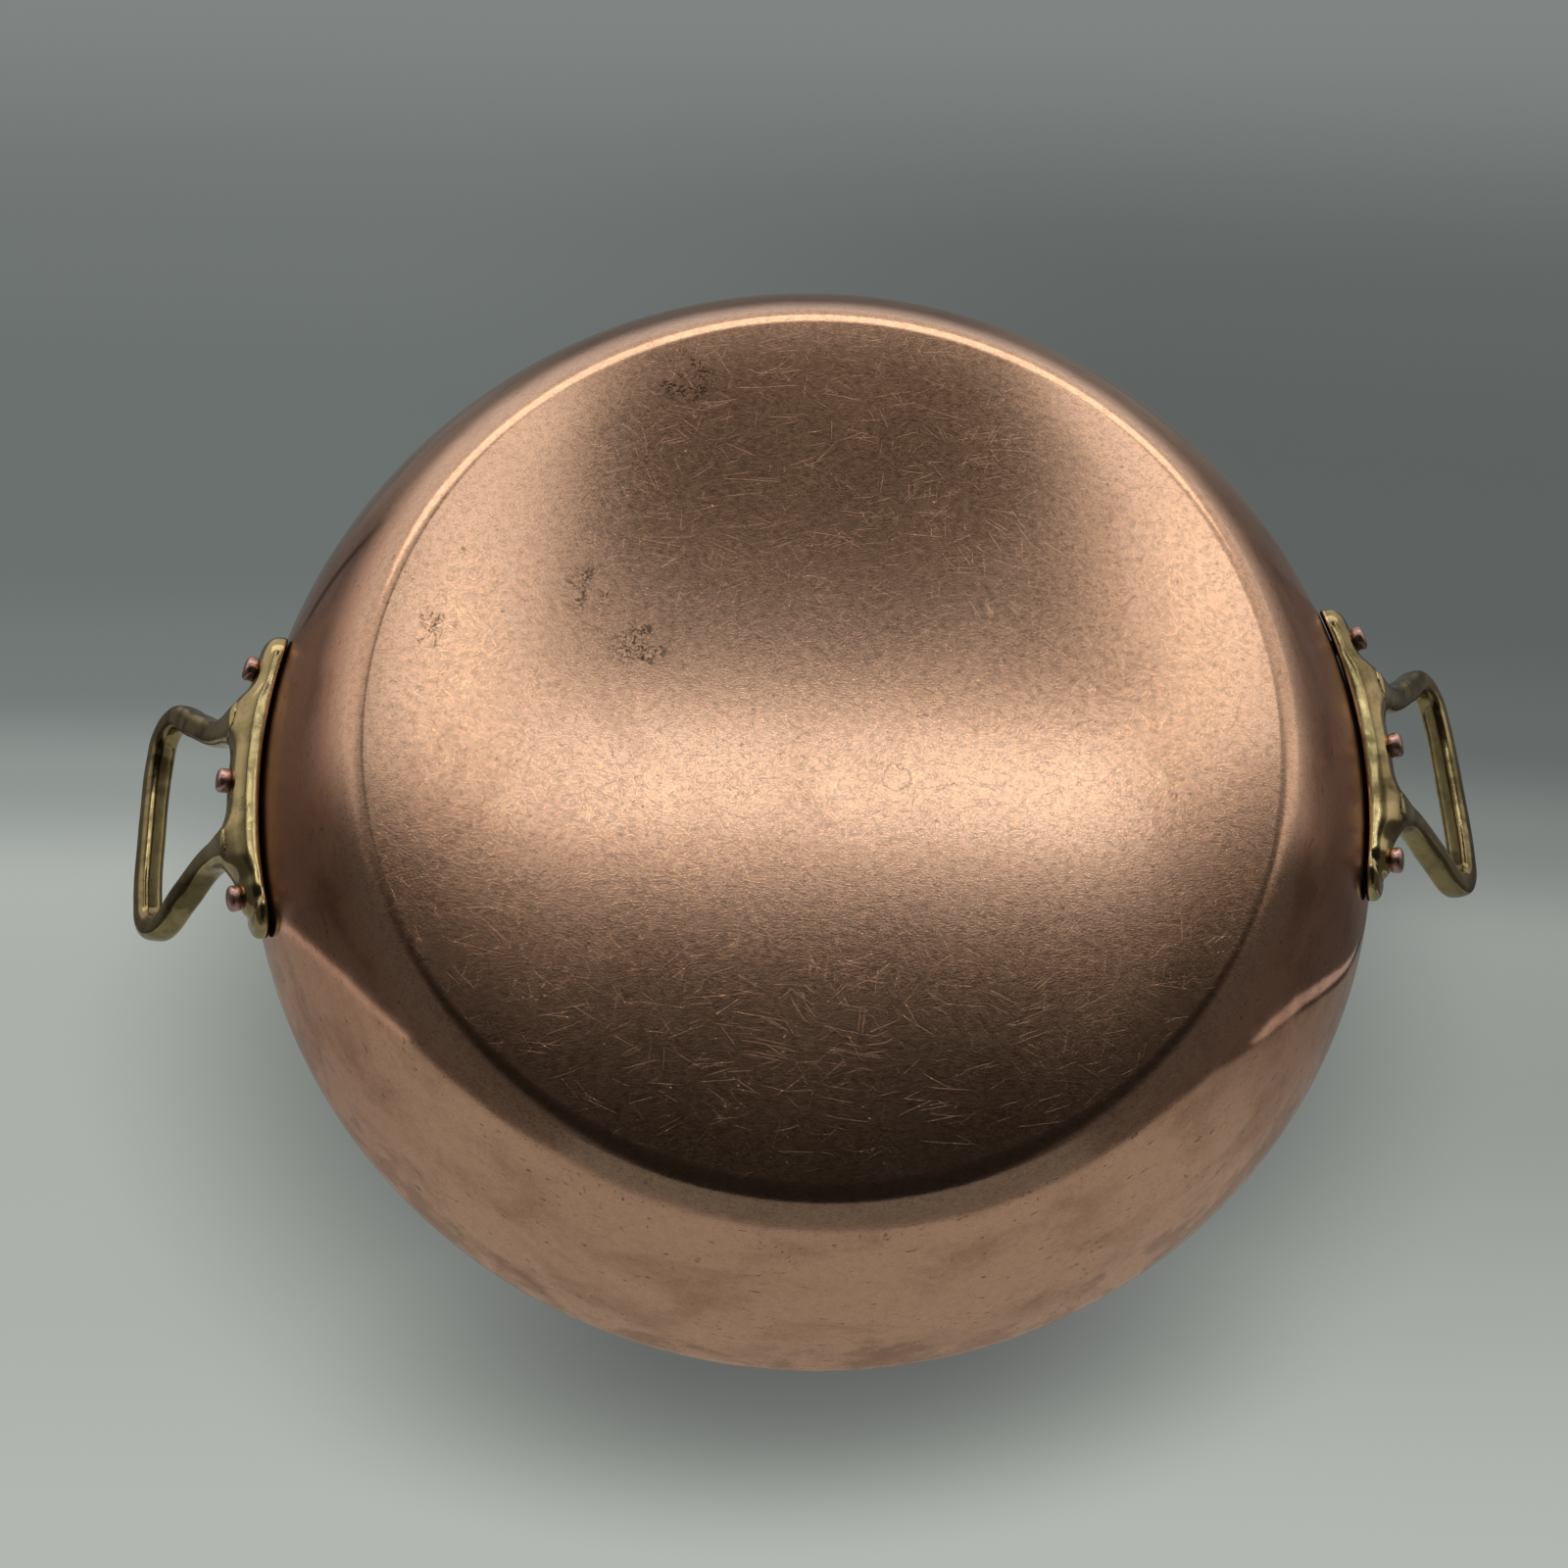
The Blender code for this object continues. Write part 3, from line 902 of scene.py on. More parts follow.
def copper_material(groups):
    made, net, shader = new_material(METALS["copper"])
    looks = finishes()
    place = net.place()
    x, y, z, radius = radius_of(net, place)
    on_wall = net.ramp(z, 0.0010, 0.0070)
    scratches = net.group(groups["wiping"], Vector=place, Coverage=0.50)
    grain = net.group(groups["grain"], Vector=place, Scale=1.0)
    tarnish = net.group(groups["tarnish"], Vector=place, Spread=0.45)
    stains = stain_mask(net, place) * (1.0 - on_wall)
    cloud = net.ramp(grain["Cloud"], 0.35, 0.70)
    side = net.ramp(abs(x), 0.085, 0.120)
    browned = tarnish["Mottle"] * 0.26 + cloud * 0.05
    fibres = 1.0 - grain["Fibres"]
    browned += fibres * (on_wall * -0.12 + 0.30)
    speckle = grain["Speckle"] * (on_wall * -0.10 + 0.20)
    browned += speckle
    browned += side * on_wall * 0.34
    streaks = net.noise(net.mapped(place, (44.0, 44.0, 96.0)), 1.0, 5.0, 0.60, 0.3)
    streaks = net.ramp(streaks, 0.42, 0.74) * on_wall
    browned += streaks * 0.50
    seat = net.ramp(z, 0.008, 0.017) * net.ramp(radius, 0.112, 0.120)
    seat *= net.fade(abs(y), 0.032, 0.039)
    browned += seat * 0.50
    colour = net.mix(browned, colour4(looks.copper), colour4(looks.tarnish))
    cracks = grain["Cracks"] * (on_wall * -0.55 + 1.0)
    # Darker brown towards the rim, in patches.
    rim_patches = net.noise(net.mapped(place, (60.0, 60.0, 110.0)), 1.0, 5.0, 0.66, 0.3)
    edge = rim_patches + net.ramp(z, 0.022, 0.045, -0.14, 0.10)
    edge = net.ramp(edge, 0.50, 0.66) * on_wall
    dashes = net.noise(net.mapped(place, (300.0, 300.0, 1500.0)), 1.0, 2.0, 0.6, 0.6)
    dashes = net.ramp(dashes, 0.66, 0.72) * on_wall
    for mask, amount, depth in (
        (cracks, 0.50, 0.55),
        (tarnish["Specks"], 0.55, 0.30),
        (stains, 0.92, 0.22),
        (edge, 0.45, 0.62),
        (dashes, 0.65, 0.28),
    ):
        colour = net.mix(mask * amount, colour, colour4(looks.tarnish, depth))
    deep = on_wall * (side * 0.5 + 0.5)
    colour = net.mix(deep, colour, (1.0, 0.87, 0.84, 1.0), "MULTIPLY")
    net.link(colour, shader.inputs["Base Color"])
    shader.inputs["Metallic"].default_value = 1.0
    shader.inputs["Coat Roughness"].default_value = 0.045
    net.link(on_wall * -0.25 + 0.25, shader.inputs["Coat Weight"])
    line = scratches["Mask"] * (on_wall * -0.80 + 1.0)
    satin = cloud * 0.025 + 0.160
    polished = cloud * 0.030 + 0.085
    inputs = {0: on_wall, 2: satin, 3: polished}
    rough = net.add("ShaderNodeMix", inputs, data_type="FLOAT")
    combed = (grain["Fibres"] - 0.5) * (on_wall * -0.04 + 0.06)
    roughness = tarnish["Specks"] * 0.15 + (rough.outputs[0] + combed)
    roughness += line * 0.040
    roughness += seat * 0.24
    net.link(roughness, shader.inputs["Roughness"])
    relief = grain["Height"] * (on_wall * -0.75 + 1.0)
    fine = bump(net, relief, 1.0, 0.000017)
    scored = bump(net, line * -1.0, 1.0, 0.000003, fine)
    broad = net.noise(place, 26.0, 2.0, 0.5)
    net.link(bump(net, broad, 0.14, 0.0003, scored), shader.inputs["Normal"])
    return made


def tin_material(groups):
    made, net, shader = new_material(METALS["tin"])
    looks = finishes()
    place = net.place()
    scratches = net.group(groups["wiping"], Vector=place, Coverage=0.35)
    grain = net.group(groups["grain"], Vector=place, Scale=0.8)
    tarnish = net.group(groups["tarnish"], Vector=place, Spread=0.55)
    cloud = net.ramp(grain["Cloud"], 0.35, 0.70)
    dull = tarnish["Mottle"] * 0.45 + cloud * 0.20
    colour = net.mix(dull, colour4(looks.tin), colour4((0.50, 0.50, 0.49)))
    colour = net.mix(tarnish["Specks"] * 0.4, colour, colour4((0.25, 0.24, 0.22)))
    net.link(colour, shader.inputs["Base Color"])
    shader.inputs["Metallic"].default_value = 0.85
    rough = cloud * 0.12 + 0.30
    rough += scratches["Mask"] * 0.12
    net.link(rough, shader.inputs["Roughness"])
    swirl = net.noise(net.mapped(place, (60.0, 60.0, 140.0)), 1.0, 3.0, 0.55, 1.5)
    fine = bump(net, grain["Height"], 0.8, 0.00003)
    net.link(bump(net, swirl, 0.35, 0.0006, fine), shader.inputs["Normal"])
    return made


def brass_material(groups):
    made, net, shader = new_material(METALS["brass"])
    looks = finishes()
    place = net.place()
    gap = net.add("ShaderNodeAttribute", attribute_name="wall_gap").outputs["Fac"]
    grime = net.group(groups["grime"], Vector=place, Scale=1.0)
    grain = net.group(groups["grain"], Vector=place, Scale=0.7)
    tarnish = net.group(groups["tarnish"], Vector=place, Spread=0.6)
    cloud = net.ramp(grain["Cloud"], 0.30, 0.70)
    # Painted shade: near-black where the handle's metal lies close to the wall.
    gap_shade = net.fade(gap, 0.0008, 0.0012)
    patches = net.ramp(net.noise(place, 55.0, 0.0, 0.0), 0.48, 0.56)
    # Painted highlight: a bright pale line, in patches, along the flange's edge just off the wall.
    edge_highlight = net.ramp(gap, 0.0011, 0.0013) * net.fade(gap, 0.0014, 0.0017)
    edge_highlight *= patches
    # Painted shade: the loop, out beyond the flange, is painted darker than the flange.
    arms = net.ramp(radius_of(net, place)[-1], 0.148, 0.156)
    # Darker in random patches.
    dark_patches = net.ramp(net.noise(place, 42.0, 3.0, 0.55, 0.5), 0.47, 0.56)
    dark = grime["Mask"] * 0.32 + tarnish["Mottle"] * 0.30
    dark += dark_patches * 0.50
    dark += arms * 0.34
    colour = net.mix(dark, colour4(looks.brass), colour4((0.120, 0.092, 0.040)))
    colour = net.mix(tarnish["Specks"] * 0.5, colour, colour4((0.12, 0.09, 0.04)))
    colour = net.mix(edge_highlight, colour, colour4((1.0, 0.90, 0.62)))
    colour = net.mix(gap_shade, colour, colour4((0.016, 0.011, 0.007)))
    net.link(colour, shader.inputs["Base Color"])
    shader.inputs["Metallic"].default_value = 1.0
    rough = cloud * 0.06 + 0.10
    rough += grime["Mask"] * 0.08
    rough += edge_highlight * 0.12
    net.link(gap_shade * 0.4 + rough, shader.inputs["Roughness"])
    pits = net.noise(place, 700.0, 2.0, 0.5)
    fine = bump(net, pits, 0.9, 0.000004)
    broad = net.noise(place, 100.0, 1.0, 0.5)
    net.link(bump(net, broad, 0.22, 0.0003, fine), shader.inputs["Normal"])
    return made


def rivet_material(groups):
    made, net, shader = new_material(METALS["rivet"])
    looks = finishes()
    place = net.place()
    tarnish = net.group(groups["tarnish"], Vector=place, Spread=0.5)
    grime = net.group(groups["grime"], Vector=place, Scale=2.0)
    colour = net.mix(grime["Mask"] * 0.55, colour4(looks.rivet), colour4(looks.tarnish, 0.7))
    inside = net.fade(radius_of(net, place)[-1], 0.1335, 0.1350)
    colour = net.mix(inside * 0.80, colour, colour4(looks.tin))
    net.link(colour, shader.inputs["Base Color"])
    shader.inputs["Metallic"].default_value = 1.0
    rough = grime["Mask"] * 0.16 + 0.24
    net.link(tarnish["Specks"] * 0.2 + rough, shader.inputs["Roughness"])
    dents = net.noise(place, 420.0, 2.0, 0.5)
    net.link(bump(net, dents, 0.5, 0.0003), shader.inputs["Normal"])
    return made


def material_set():
    """Every metal of the pan, made once and shared by name."""
    if METALS["copper"] in bpy.data.materials:
        return {name: bpy.data.materials[label] for name, label in METALS.items()}
    groups = {
        "wiping": wiping_group(),
        "grain": grain_group(),
        "tarnish": tarnish_group(),
        "grime": grime_group(),
    }
    return {
        "copper": copper_material(groups),
        "tin": tin_material(groups),
        "brass": brass_material(groups),
        "rivet": rivet_material(groups),
    }


# Operators


class GRATIN_OT_body(bpy.types.Operator):
    """Turn the copper body and the tin lining inside it"""

    bl_idname = "gratin.body"
    bl_label = "Copper body and lining"

    def execute(self, context):
        pan = pan_settings()
        looks = material_set()
        wall = Wall()
        thick = pan.copper_thickness
        copper = shell_profile(wall, 0.0, thick, pan.height, COPPER_EASE)
        lining = shell_profile(
            wall, thick - LINING_OVERLAP, pan.lining_depth, pan.height - LINING_DROP, LINING_EASE
        )
        for name, section, sides, metal, node in (
            ("copper_shell", copper, COPPER_SIDES, "copper", "copper_body"),
            ("tin_skin", lining, LINING_SIDES, "tin", "tin_lining"),
        ):
            mesh = turned_mesh(name, section, sides)
            shape = add_piece(name, mesh)
            mesh.materials.append(looks[metal])
            keep_in_box(mesh, node)
            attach(shape, ROOT)
            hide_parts(node)
        return {"FINISHED"}


class GRATIN_OT_handles(bpy.types.Operator):
    """Cast the two brass handles"""

    bl_idname = "gratin.handles"
    bl_label = "Brass handles"

    def execute(self, context):
        looks = material_set()
        wall = Wall()
        for side, turn in SIDES:
            shape = cast_handle(f"cast_{side}", turn, wall, looks["brass"])
            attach(shape, ROOT)
            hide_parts(f"handle_{side}")
        return {"FINISHED"}


class GRATIN_OT_rivets(bpy.types.Operator):
    """Set three copper rivets through each handle"""

    bl_idname = "gratin.rivets"
    bl_label = "Rivets"

    def execute(self, context):
        looks = material_set()
        wall = Wall()
        tree = rivet_tree()
        template = add_piece("rivet_template", rivet_template())
        for side, turn in SIDES:
            shape = set_rivets(f"rivets_{side}", turn, wall, template, tree, looks["rivet"])
            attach(shape, ROOT)
            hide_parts(*[f"rivet_{side}_{place}" for place in RIVET_PLACES])
        mesh = template.data
        bpy.data.objects.remove(template)
        bpy.data.meshes.remove(mesh)
        return {"FINISHED"}


# Stage

PHOTO_LEAN = math.radians(32.0)
CAMERA_PLACE = (0.02254, -0.12618, -0.32793)
CAMERA_TILT = math.radians(18.536)
CAMERA_YAW = math.radians(-1.529)
CAMERA_SPIN = math.radians(1.850)
CAMERA_LENS = 36.06
SENSOR_WIDTH = 36.0
NEAREST_SEEN = 0.01
FLOOR_REACH, FLOOR_DROP = 3, 0.0004
BACKDROP_SIDE, BACKDROP_FRONT, BACKDROP_BACK = 1.7, -0.8, 2.2
BACKDROP_HEIGHT = 1.5
# Glow colours of the backdrop card, from where the paper lies to where it stands; the darker ones
# are painted shade.
BACKDROP = (
    (-0.42, (0.450, 0.478, 0.442)),
    (-0.10, (0.415, 0.440, 0.410)),
    (0.18, (0.405, 0.430, 0.400)),
    (0.34, (0.420, 0.448, 0.420)),
    (0.48, (0.275, 0.300, 0.284)),
    (0.60, (0.175, 0.194, 0.187)),
    (0.78, (0.148, 0.166, 0.160)),
    (1.00, (0.146, 0.163, 0.157)),
    (1.25, (0.160, 0.177, 0.171)),
    (1.70, (0.215, 0.230, 0.224)),
)
BACKDROP_TILT = -0.05
PAPER_EDGE = (
    (-0.320, 1.000), (-0.297, 0.279), (-0.288, 0.130), (-0.275, 0.052), (-0.243, 0.004),
    (-0.215, -0.027), (-0.174, -0.042), (-0.119, -0.050), (0.000, -0.056), (0.130, -0.062),
    (0.230, -0.052), (0.278, -0.041), (0.355, -0.023), (0.412, 0.014), (0.475, 0.076),
    (0.490, 0.162), (0.500, 1.000),
)
NEAR_GLEAM = (
    (0.312, -0.038), (0.372, -0.010), (0.455, 0.050), (0.496, 0.135), (0.492, 0.209),
    (0.445, 0.262), (0.412, 0.256), (0.452, 0.205), (0.462, 0.140), (0.430, 0.065),
    (0.358, 0.004), (0.306, -0.026),
)
FAR_GLEAM = (
    (-0.252, 0.000), (-0.282, 0.018), (-0.307, 0.054), (-0.309, 0.108), (-0.293, 0.163),
    (-0.284, 0.215), (-0.281, 0.170), (-0.286, 0.119), (-0.286, 0.071), (-0.267, 0.033),
    (-0.245, 0.004),
)
FAR_SHADE = (
    (-0.232, -0.012), (-0.250, 0.007), (-0.270, 0.043), (-0.277, 0.098), (-0.271, 0.155),
    (-0.275, 0.210), (-0.287, 0.268), (-0.294, 0.268), (-0.290, 0.239), (-0.281, 0.172),
    (-0.286, 0.119), (-0.286, 0.071), (-0.267, 0.032), (-0.244, 0.003),
)


def camera_axes():
    """Right, up and forward of the camera as rows."""
    turns = ((CAMERA_YAW, "Y"), (CAMERA_TILT, "X"), (CAMERA_SPIN, "Z"))
    about_y, about_x, about_z = [Matrix.Rotation(angle, 3, axis) for angle, axis in turns]
    return about_y @ about_x @ about_z @ Matrix.Diagonal(Vector((-1.0, 1.0, 1.0)))


def flat_card(name, corners, look):
    mesh = bpy.data.meshes.new(name)
    mesh.from_pydata(corners, [], [tuple(range(len(corners)))])
    card = add_piece(name, mesh)
    mesh.materials.append(look)
    return card


def rectangle(name, low, high, level, look, facing):
    """A level card between two corners, which faces up for 1 and down for -1."""
    corners = [(*low, level), (high[0], low[1], level), (*high, level), (low[0], high[1], level)]
    if facing < 0:
        corners = corners[:1] + corners[:0:-1]
    return flat_card(name, corners, look)


def only_for(card, *rays):
    for ray in ("camera", "diffuse", "glossy", "transmission", "volume_scatter", "shadow"):
        setattr(card, f"visible_{ray}", ray in rays)


def glow(name, colour=(1.0, 1.0, 1.0)):
    made = bpy.data.materials.new(name)
    made.use_nodes = True
    net = Net(made.node_tree)
    made.node_tree.nodes.clear()
    light = net.add("ShaderNodeEmission", {"Color": (*colour, 1.0), "Strength": 1.0})
    net.add("ShaderNodeOutputMaterial", {"Surface": light.outputs[0]})
    return made, net, light


def soft_spot(net, place, centre, reach):
    """Distance from a centre, counted in reaches, so that an oval has the value 1 all round."""
    shift = (-centre[0] / reach[0], -centre[1] / reach[1], 0.0)
    scale = (1.0 / reach[0], 1.0 / reach[1], 0.0)
    oval = net.mapped(place, scale, shift=shift)
    return net.read("ShaderNodeVectorMath", {0: oval}, operation="LENGTH")["Value"]


def backdrop_material():
    """Glowing card painted as soft seamless paper: pale where it lies, painted darker where it
    stands, with painted shadow round the pan.
    """
    made, net, light = glow("Backdrop paper")
    place = net.place()
    x, y = net.axes(place)[:2]
    low, high = BACKDROP[0][0], BACKDROP[-1][0]
    ramp = net.add("ShaderNodeValToRGB")
    ramp.color_ramp.interpolation = "EASE"
    stops = ramp.color_ramp.elements
    while len(stops) > 1:
        stops.remove(stops[-1])
    for i, (row, colour) in enumerate(BACKDROP):
        spot = (row - low) / (high - low)
        stop = stops[0] if i == 0 else stops.new(spot)
        stop.position = spot
        stop.color = (*colour, 1.0)
    slanted = x * BACKDROP_TILT + y
    right = net.math("MINIMUM", x, 0.0)
    slanted += right * BACKDROP_TILT
    net.link(net.share(slanted, low, high), ramp.inputs[0])
    # Painted shadow round the pan, painted contact shadow under its rim, and painted shade towards
    # the far side.
    shade = net.ramp(soft_spot(net, place, (-0.045, 0.220), (0.74, 0.54)), 0.58, 1.16, 0.40, 1.0)
    contact = net.ramp(soft_spot(net, place, (-0.050, -0.190), (0.52, 0.16)), 0.20, 1.20, 0.58, 1.0)
    far_side = net.ramp(x, -0.60, 0.50, 0.75, 1.0)
    near = net.ramp(y, -0.35, 0.10) * net.fade(y, 1.15, 1.70)
    side = (far_side - 1.0) * near + 1.0
    dim = shade * contact * side
    net.link(net.scaled(ramp.outputs["Color"], dim), light.inputs["Color"])
    return made


def floor_material():
    """Pale floor seen from above only. Light that bounces off the pan finds a gap under the
    base and under each handle, so that they are lit from below as well."""
    made, net, shader = new_material("Pale floor")
    shader.inputs["Roughness"].default_value = 0.6
    shader.inputs["Specular IOR Level"].default_value = 0.2
    place = net.place()
    paper = net.noise(place, 9.0, 3.0, 0.5)
    looks = finishes()
    net.link(
        net.mix(net.ramp(paper, 0.3, 0.7), colour4(looks.floor), colour4(looks.floor, 0.985)),
        shader.inputs["Base Color"],
    )
    x, y, _, radius = radius_of(net, place)
    under = net.fade(radius, 0.118, 0.130)
    beside = net.fade(abs(y), 0.09, 0.13) * net.fade(radius, 0.30, 0.36)
    beyond = net.ramp(abs(x), 0.10, 0.12)
    gap = net.math("MAXIMUM", under, beside * beyond)
    graze = net.add("ShaderNodeLayerWeight")
    graze.inputs["Blend"].default_value = 0.5
    gap = net.math("MAXIMUM", gap, net.ramp(graze.outputs["Facing"], 0.35, 0.60))
    path = net.read("ShaderNodeLightPath")
    bounce = 1.0 - path["Is Camera Ray"]
    back = net.add("ShaderNodeNewGeometry").outputs["Backfacing"]
    far = net.ramp(radius, 1.1, 2.8)
    open_share = net.math("MAXIMUM", net.math("MAXIMUM", back, far), gap * bounce)
    clear = net.add("ShaderNodeBsdfTransparent")
    inputs = {0: open_share, 1: shader.outputs[0], 2: clear.outputs[0]}
    blend = net.add("ShaderNodeMixShader", inputs)
    net.link(blend.outputs[0], made.node_tree.nodes["Material Output"].inputs["Surface"])
    return made


def panel_light(name, place, size, radiance, colour=(1.0, 1.0, 1.0), lean=0.0):
    """A soft panel that points at the base's middle, with the brightness that its face shows.
    Its top leans towards +X by an angle in degrees."""
    data = bpy.data.lights.new(name, "AREA")
    data.shape = "RECTANGLE"
    data.size, data.size_y = size
    data.energy = radiance * math.pi * size[0] * size[1]
    data.color = colour
    made = bpy.data.objects.new(name, data)
    bpy.context.scene.collection.objects.link(made)
    way = Vector(place).normalized()
    top = Vector((math.sin(math.radians(lean)), math.cos(math.radians(lean)), 0.0))
    across = top.cross(way).normalized()
    turn = Matrix((across, way.cross(across), way)).transposed()
    made.matrix_world = Matrix.Translation(place) @ turn.to_4x4()
    made.visible_camera = False
    return made


def room_material():
    """What the metal mirrors: a dark room with pale walls on both sides, from waist height up."""
    made, net, light = glow("Room")
    place = net.place()
    x, y, z = net.axes(place)
    aside = abs(x)
    side = net.math("MAXIMUM", net.ramp(aside, 0.62, 0.95), net.ramp(y, 1.16, 1.75))
    high = net.ramp(y, 0.25, 0.95)
    back = net.ramp(y * -0.56 + z, -0.65, 0.45, 1.0, 0.06)
    pale = side * high * back
    base = net.ramp(aside, 1.0, 2.0, 0.014, 0.075)
    haze = net.ramp(y, 0.05, 0.35, 0.0, net.ramp(y, 2.4, 3.9, 0.030, 0.085))
    level = pale * 0.56 + (base + haze)
    opening = net.fade(x, -2.2, -1.4) * net.fade(z, -0.4, 1.1)
    opening *= net.ramp(y, -0.08, 0.32)
    opening *= net.fade(y, 0.50, 0.95)
    level += opening * 0.52
    for slope_x, slope_z, sign in ((1.56, -0.67, 1.0), (-0.872, -0.2626, -1.0)):
        line = x * slope_x + z * slope_z
        off = abs(y - line)
        dark = net.fade(off, 0.10, 0.20) * net.ramp(x * sign, 1.8, 2.2)
        dark *= net.ramp(z, 1.5, 2.1)
        level *= dark * -0.70 + 1.0
    net.link(net.scaled((1.0, 0.95, 0.88), level), light.inputs["Color"])
    return made


def make_room():
    """Front, sides and top of the room as one open box."""
    wide, low, high, front, back = 2.6, -3.0, 4.0, -1.7, 4.0
    corners = [(x, y, z) for x in (-wide, wide) for y in (low, high) for z in (front, back)]
    faces = [(0, 4, 6, 2), (0, 2, 3, 1), (4, 5, 7, 6), (2, 6, 7, 3)]
    mesh = bpy.data.meshes.new("room")
    mesh.from_pydata(corners, [], faces)
    room = add_piece("room", mesh)
    mesh.materials.append(room_material())
    return room


def make_world():
    world = bpy.data.worlds.new("Studio")
    bpy.context.scene.world = world
    world.use_nodes = True
    net = Net(world.node_tree)
    world.node_tree.nodes.clear()
    path = net.read("ShaderNodeLightPath")
    seen = net.mix(path["Is Glossy Ray"], (0.55, 0.56, 0.55, 1.0), (0.140, 0.147, 0.140, 1.0))
    seen = net.mix(path["Is Camera Ray"], seen, (0.80, 0.81, 0.80, 1.0))
    light = net.add("ShaderNodeBackground", {"Color": seen})
    net.add("ShaderNodeOutputWorld", {"Surface": light.outputs[0]})


def table_point(x, along):
    """A place on the table that the rim leans on: across it, and away from the rim's low point."""
    pan = pan_settings()
    return (
        x, -pan.rim_radius + along * math.sin(PHOTO_LEAN), pan.height + along * math.cos(PHOTO_LEAN)
    )


def garland():
    """Places of the small warm bulbs, which hang in a wide arch under the lamps."""
    low = [(-0.36 + 0.072 * i, 0.305 + 0.016 * math.sin(7.0 * i)) for i in range(9)]
    left = [(0.268 + 0.018 * math.sin(5.0 * i), 0.345 + 0.070 * i) for i in range(3)]
    right = [(-0.410 - 0.014 * math.sin(4.0 * i), 0.365 + 0.060 * i) for i in range(4)]
    return low + left + right


def gleam(places):
    """Corners of a narrow glowing strip just above the table, from its places on the table: the
    painted highlights and the painted shade along the paper's edge.
    """
    lift = Vector((0.0, math.cos(PHOTO_LEAN), -math.sin(PHOTO_LEAN))) * 0.001
    return [Vector(table_point(x, along)) + lift for x, along in places]


def table_material():
    """Pale paper on the table, shaded beside the pan's far side."""
    made, net, light = glow("Table paper")
    shade = net.ramp(net.axes(net.place())[0], -0.25, -0.11, 0.64, 1.0)
    net.link(net.scaled((0.315, 0.325, 0.305), shade), light.inputs["Color"])
    return made


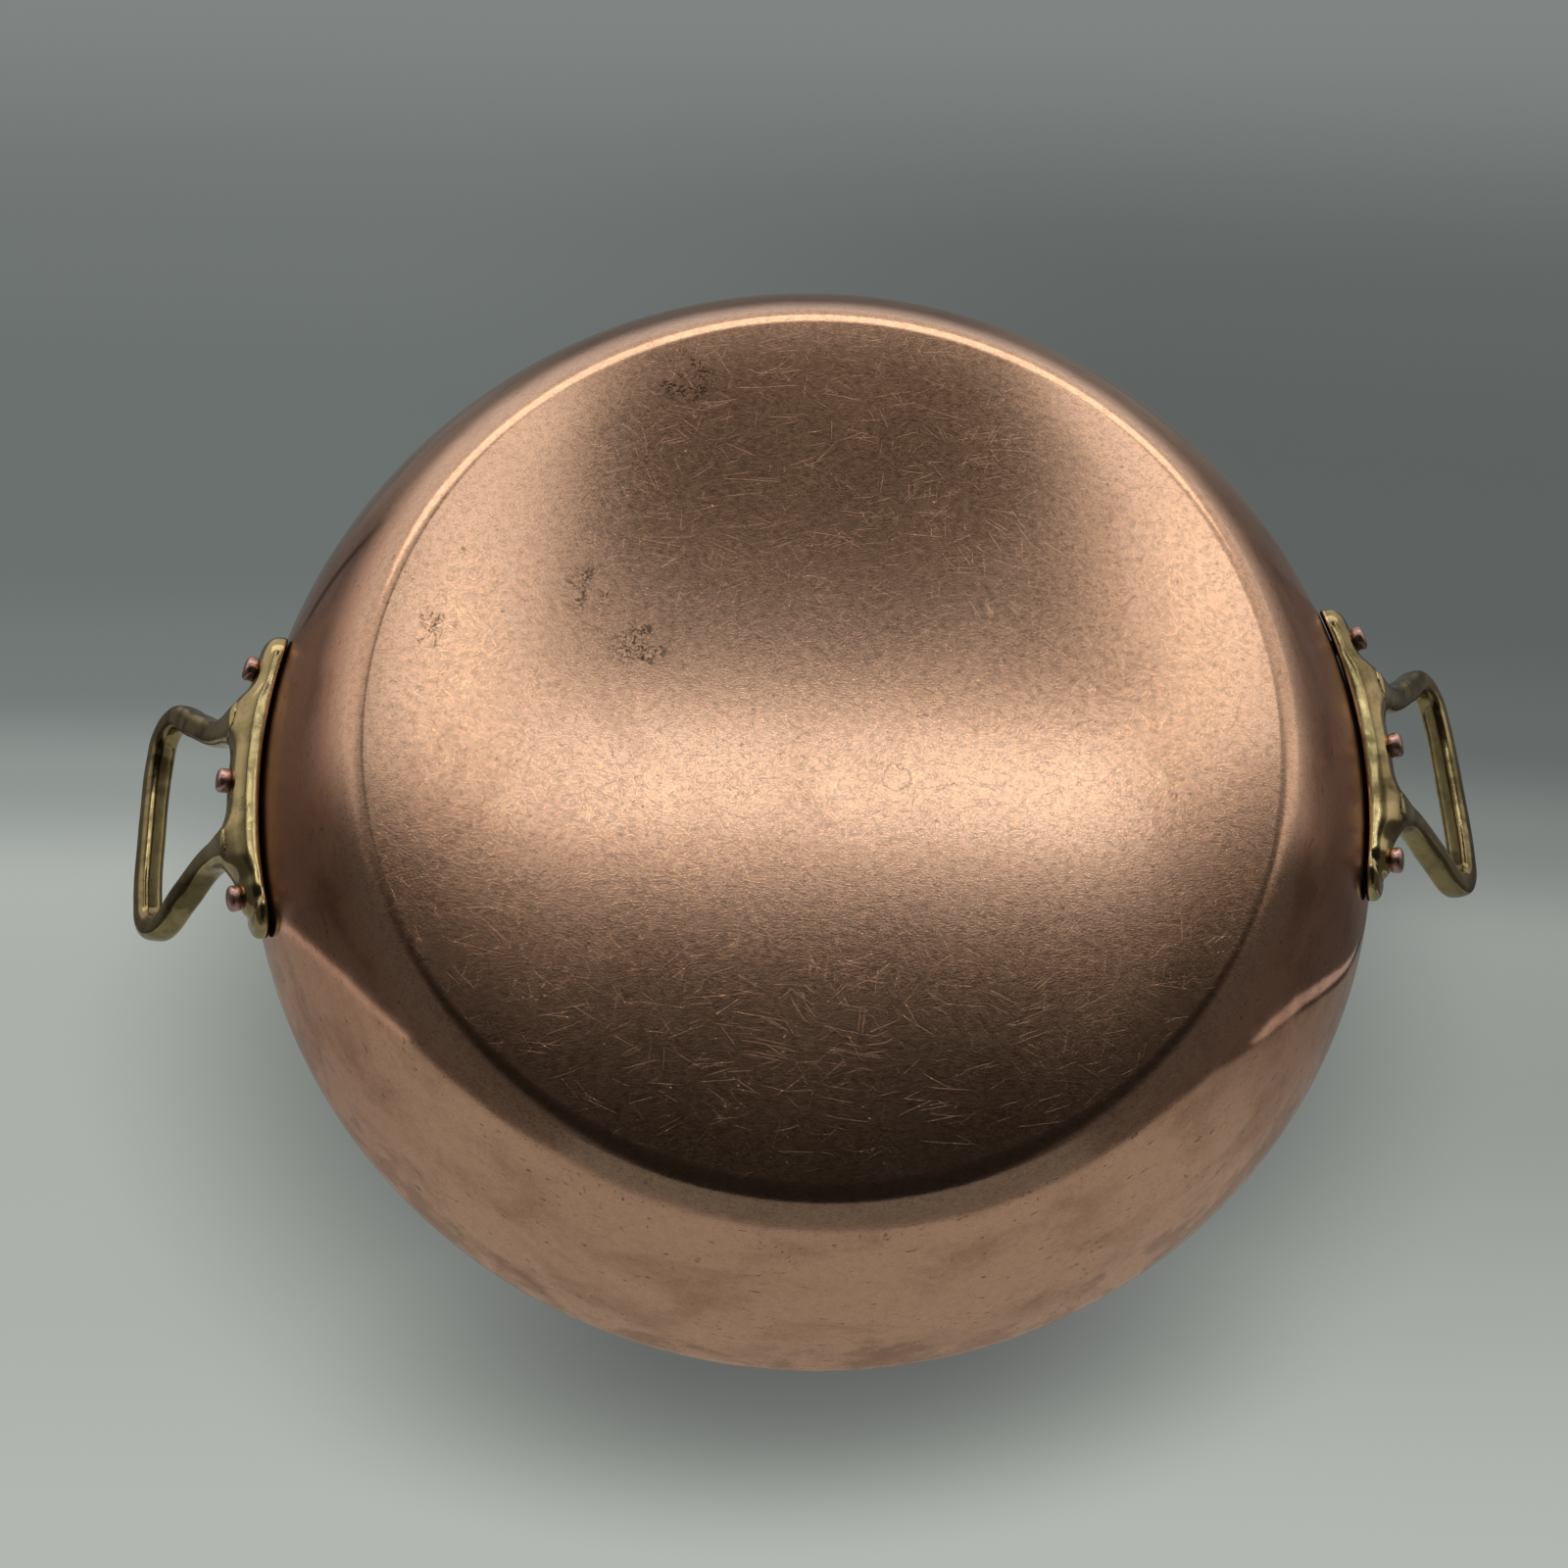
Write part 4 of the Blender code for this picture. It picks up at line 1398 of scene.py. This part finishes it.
class GRATIN_OT_stage(bpy.types.Operator):
    """Set the camera, the lamps, the floor and the backdrop"""

    bl_idname = "gratin.stage"
    bl_label = "Stage"

    def execute(self, context):
        scene = context.scene
        scene.view_settings.view_transform = "Standard"
        make_world()
        camera = bpy.data.cameras.new("Camera")
        camera.lens = CAMERA_LENS
        camera.sensor_width = SENSOR_WIDTH
        camera.clip_start = NEAREST_SEEN
        holder = bpy.data.objects.new("Camera", camera)
        scene.collection.objects.link(holder)
        axes = camera_axes()
        turn = Matrix((axes[0], axes[1], -axes[2])).transposed()
        holder.matrix_world = Matrix.Translation(CAMERA_PLACE) @ turn.to_4x4()
        scene.camera = holder

        reach = FLOOR_REACH
        floor = rectangle(
            "floor", (-reach, -reach), (reach, reach), -FLOOR_DROP, floor_material(), 1
        )
        only_for(floor, "camera", "diffuse", "glossy")
        low = (-BACKDROP_SIDE, BACKDROP_FRONT)
        high = (BACKDROP_SIDE, BACKDROP_BACK)
        backdrop = rectangle("backdrop", low, high, BACKDROP_HEIGHT, backdrop_material(), -1)
        only_for(backdrop, "camera")
        table = flat_card(
            "table_top", [table_point(x, along) for x, along in PAPER_EDGE], table_material()
        )
        # Glowing strips along the paper's edge: two painted highlights and a painted shade line.
        lit = glow("Lit paper edge", (0.56, 0.545, 0.515))[0]
        dim = glow("Dim paper edge", (0.45, 0.44, 0.42))[0]
        shade = glow("Shaded paper edge", (0.030, 0.028, 0.026))[0]
        strips = (
            flat_card("paper_edge_near", gleam(NEAR_GLEAM), lit),
            flat_card("paper_edge_far", gleam(FAR_GLEAM), dim),
            flat_card("paper_edge_shade", gleam(FAR_SHADE), shade),
        )
        room = make_room()
        for card in (table, *strips, room):
            only_for(card, "glossy")

        cool, warm = (0.98, 1.0, 1.0), (1.0, 1.0, 0.97)
        panel_light("band", (-0.070, 0.318, -1.0), (0.57, 0.100), 1.80, cool, -5.0)
        panel_light("band_glow", (-0.085, 0.370, -1.02), (0.60, 0.330), 0.10, cool, -5.0)
        panel_light("column_left", (0.278, 0.565, -1.0), (0.195, 0.47), 1.06, warm, -4.0)
        panel_light("column_right", (-0.450, 0.570, -1.0), (0.185, 0.50), 1.16, warm, 6.0)
        panel_light("ceiling", (0.0, 1.18, -0.70), (2.4, 0.66), 1.0, (1.0, 0.94, 0.84))
        panel_light("zenith", (0.0, 0.0, 1.25), (0.85, 0.85), 2.6)
        for i, (x, y) in enumerate(garland()):
            panel_light(
                f"bulb_{i}", (x, y, -0.98), (0.0055, 0.0055), 43.0, (1.0, 0.80, 0.40)
            )
        return {"FINISHED"}


class GRATIN_PT_panel(bpy.types.Panel):
    """Settings and steps of the gratin pan"""

    bl_idname = "GRATIN_PT_panel"
    bl_label = "Gratin pan"
    bl_space_type = "VIEW_3D"
    bl_region_type = "UI"
    bl_category = "Gratin pan"

    def draw(self, context):
        layout = self.layout
        for group in (pan_settings(), handle_settings(), finishes()):
            box = layout.box()
            for name in group.__annotations__:
                box.prop(group, name)
        for step in (GRATIN_OT_body, GRATIN_OT_handles, GRATIN_OT_rivets, GRATIN_OT_stage):
            layout.operator(step.bl_idname)


CLASSES = (
    PanSettings,
    HandleSettings,
    FinishSettings,
    GRATIN_OT_body,
    GRATIN_OT_handles,
    GRATIN_OT_rivets,
    GRATIN_OT_stage,
    GRATIN_PT_panel,
)


def register():
    for each in CLASSES:
        bpy.utils.register_class(each)
    bpy.types.Scene.gratin_pan = bpy.props.PointerProperty(type=PanSettings)
    bpy.types.Scene.gratin_handles = bpy.props.PointerProperty(type=HandleSettings)
    bpy.types.Scene.gratin_finishes = bpy.props.PointerProperty(type=FinishSettings)


def unregister():
    del bpy.types.Scene.gratin_finishes
    del bpy.types.Scene.gratin_handles
    del bpy.types.Scene.gratin_pan
    for each in reversed(CLASSES):
        bpy.utils.unregister_class(each)


def main():
    register()
    bpy.ops.gratin.body()
    bpy.ops.gratin.handles()
    bpy.ops.gratin.rivets()
    bpy.ops.gratin.stage()


if __name__ == "__main__":
    main()
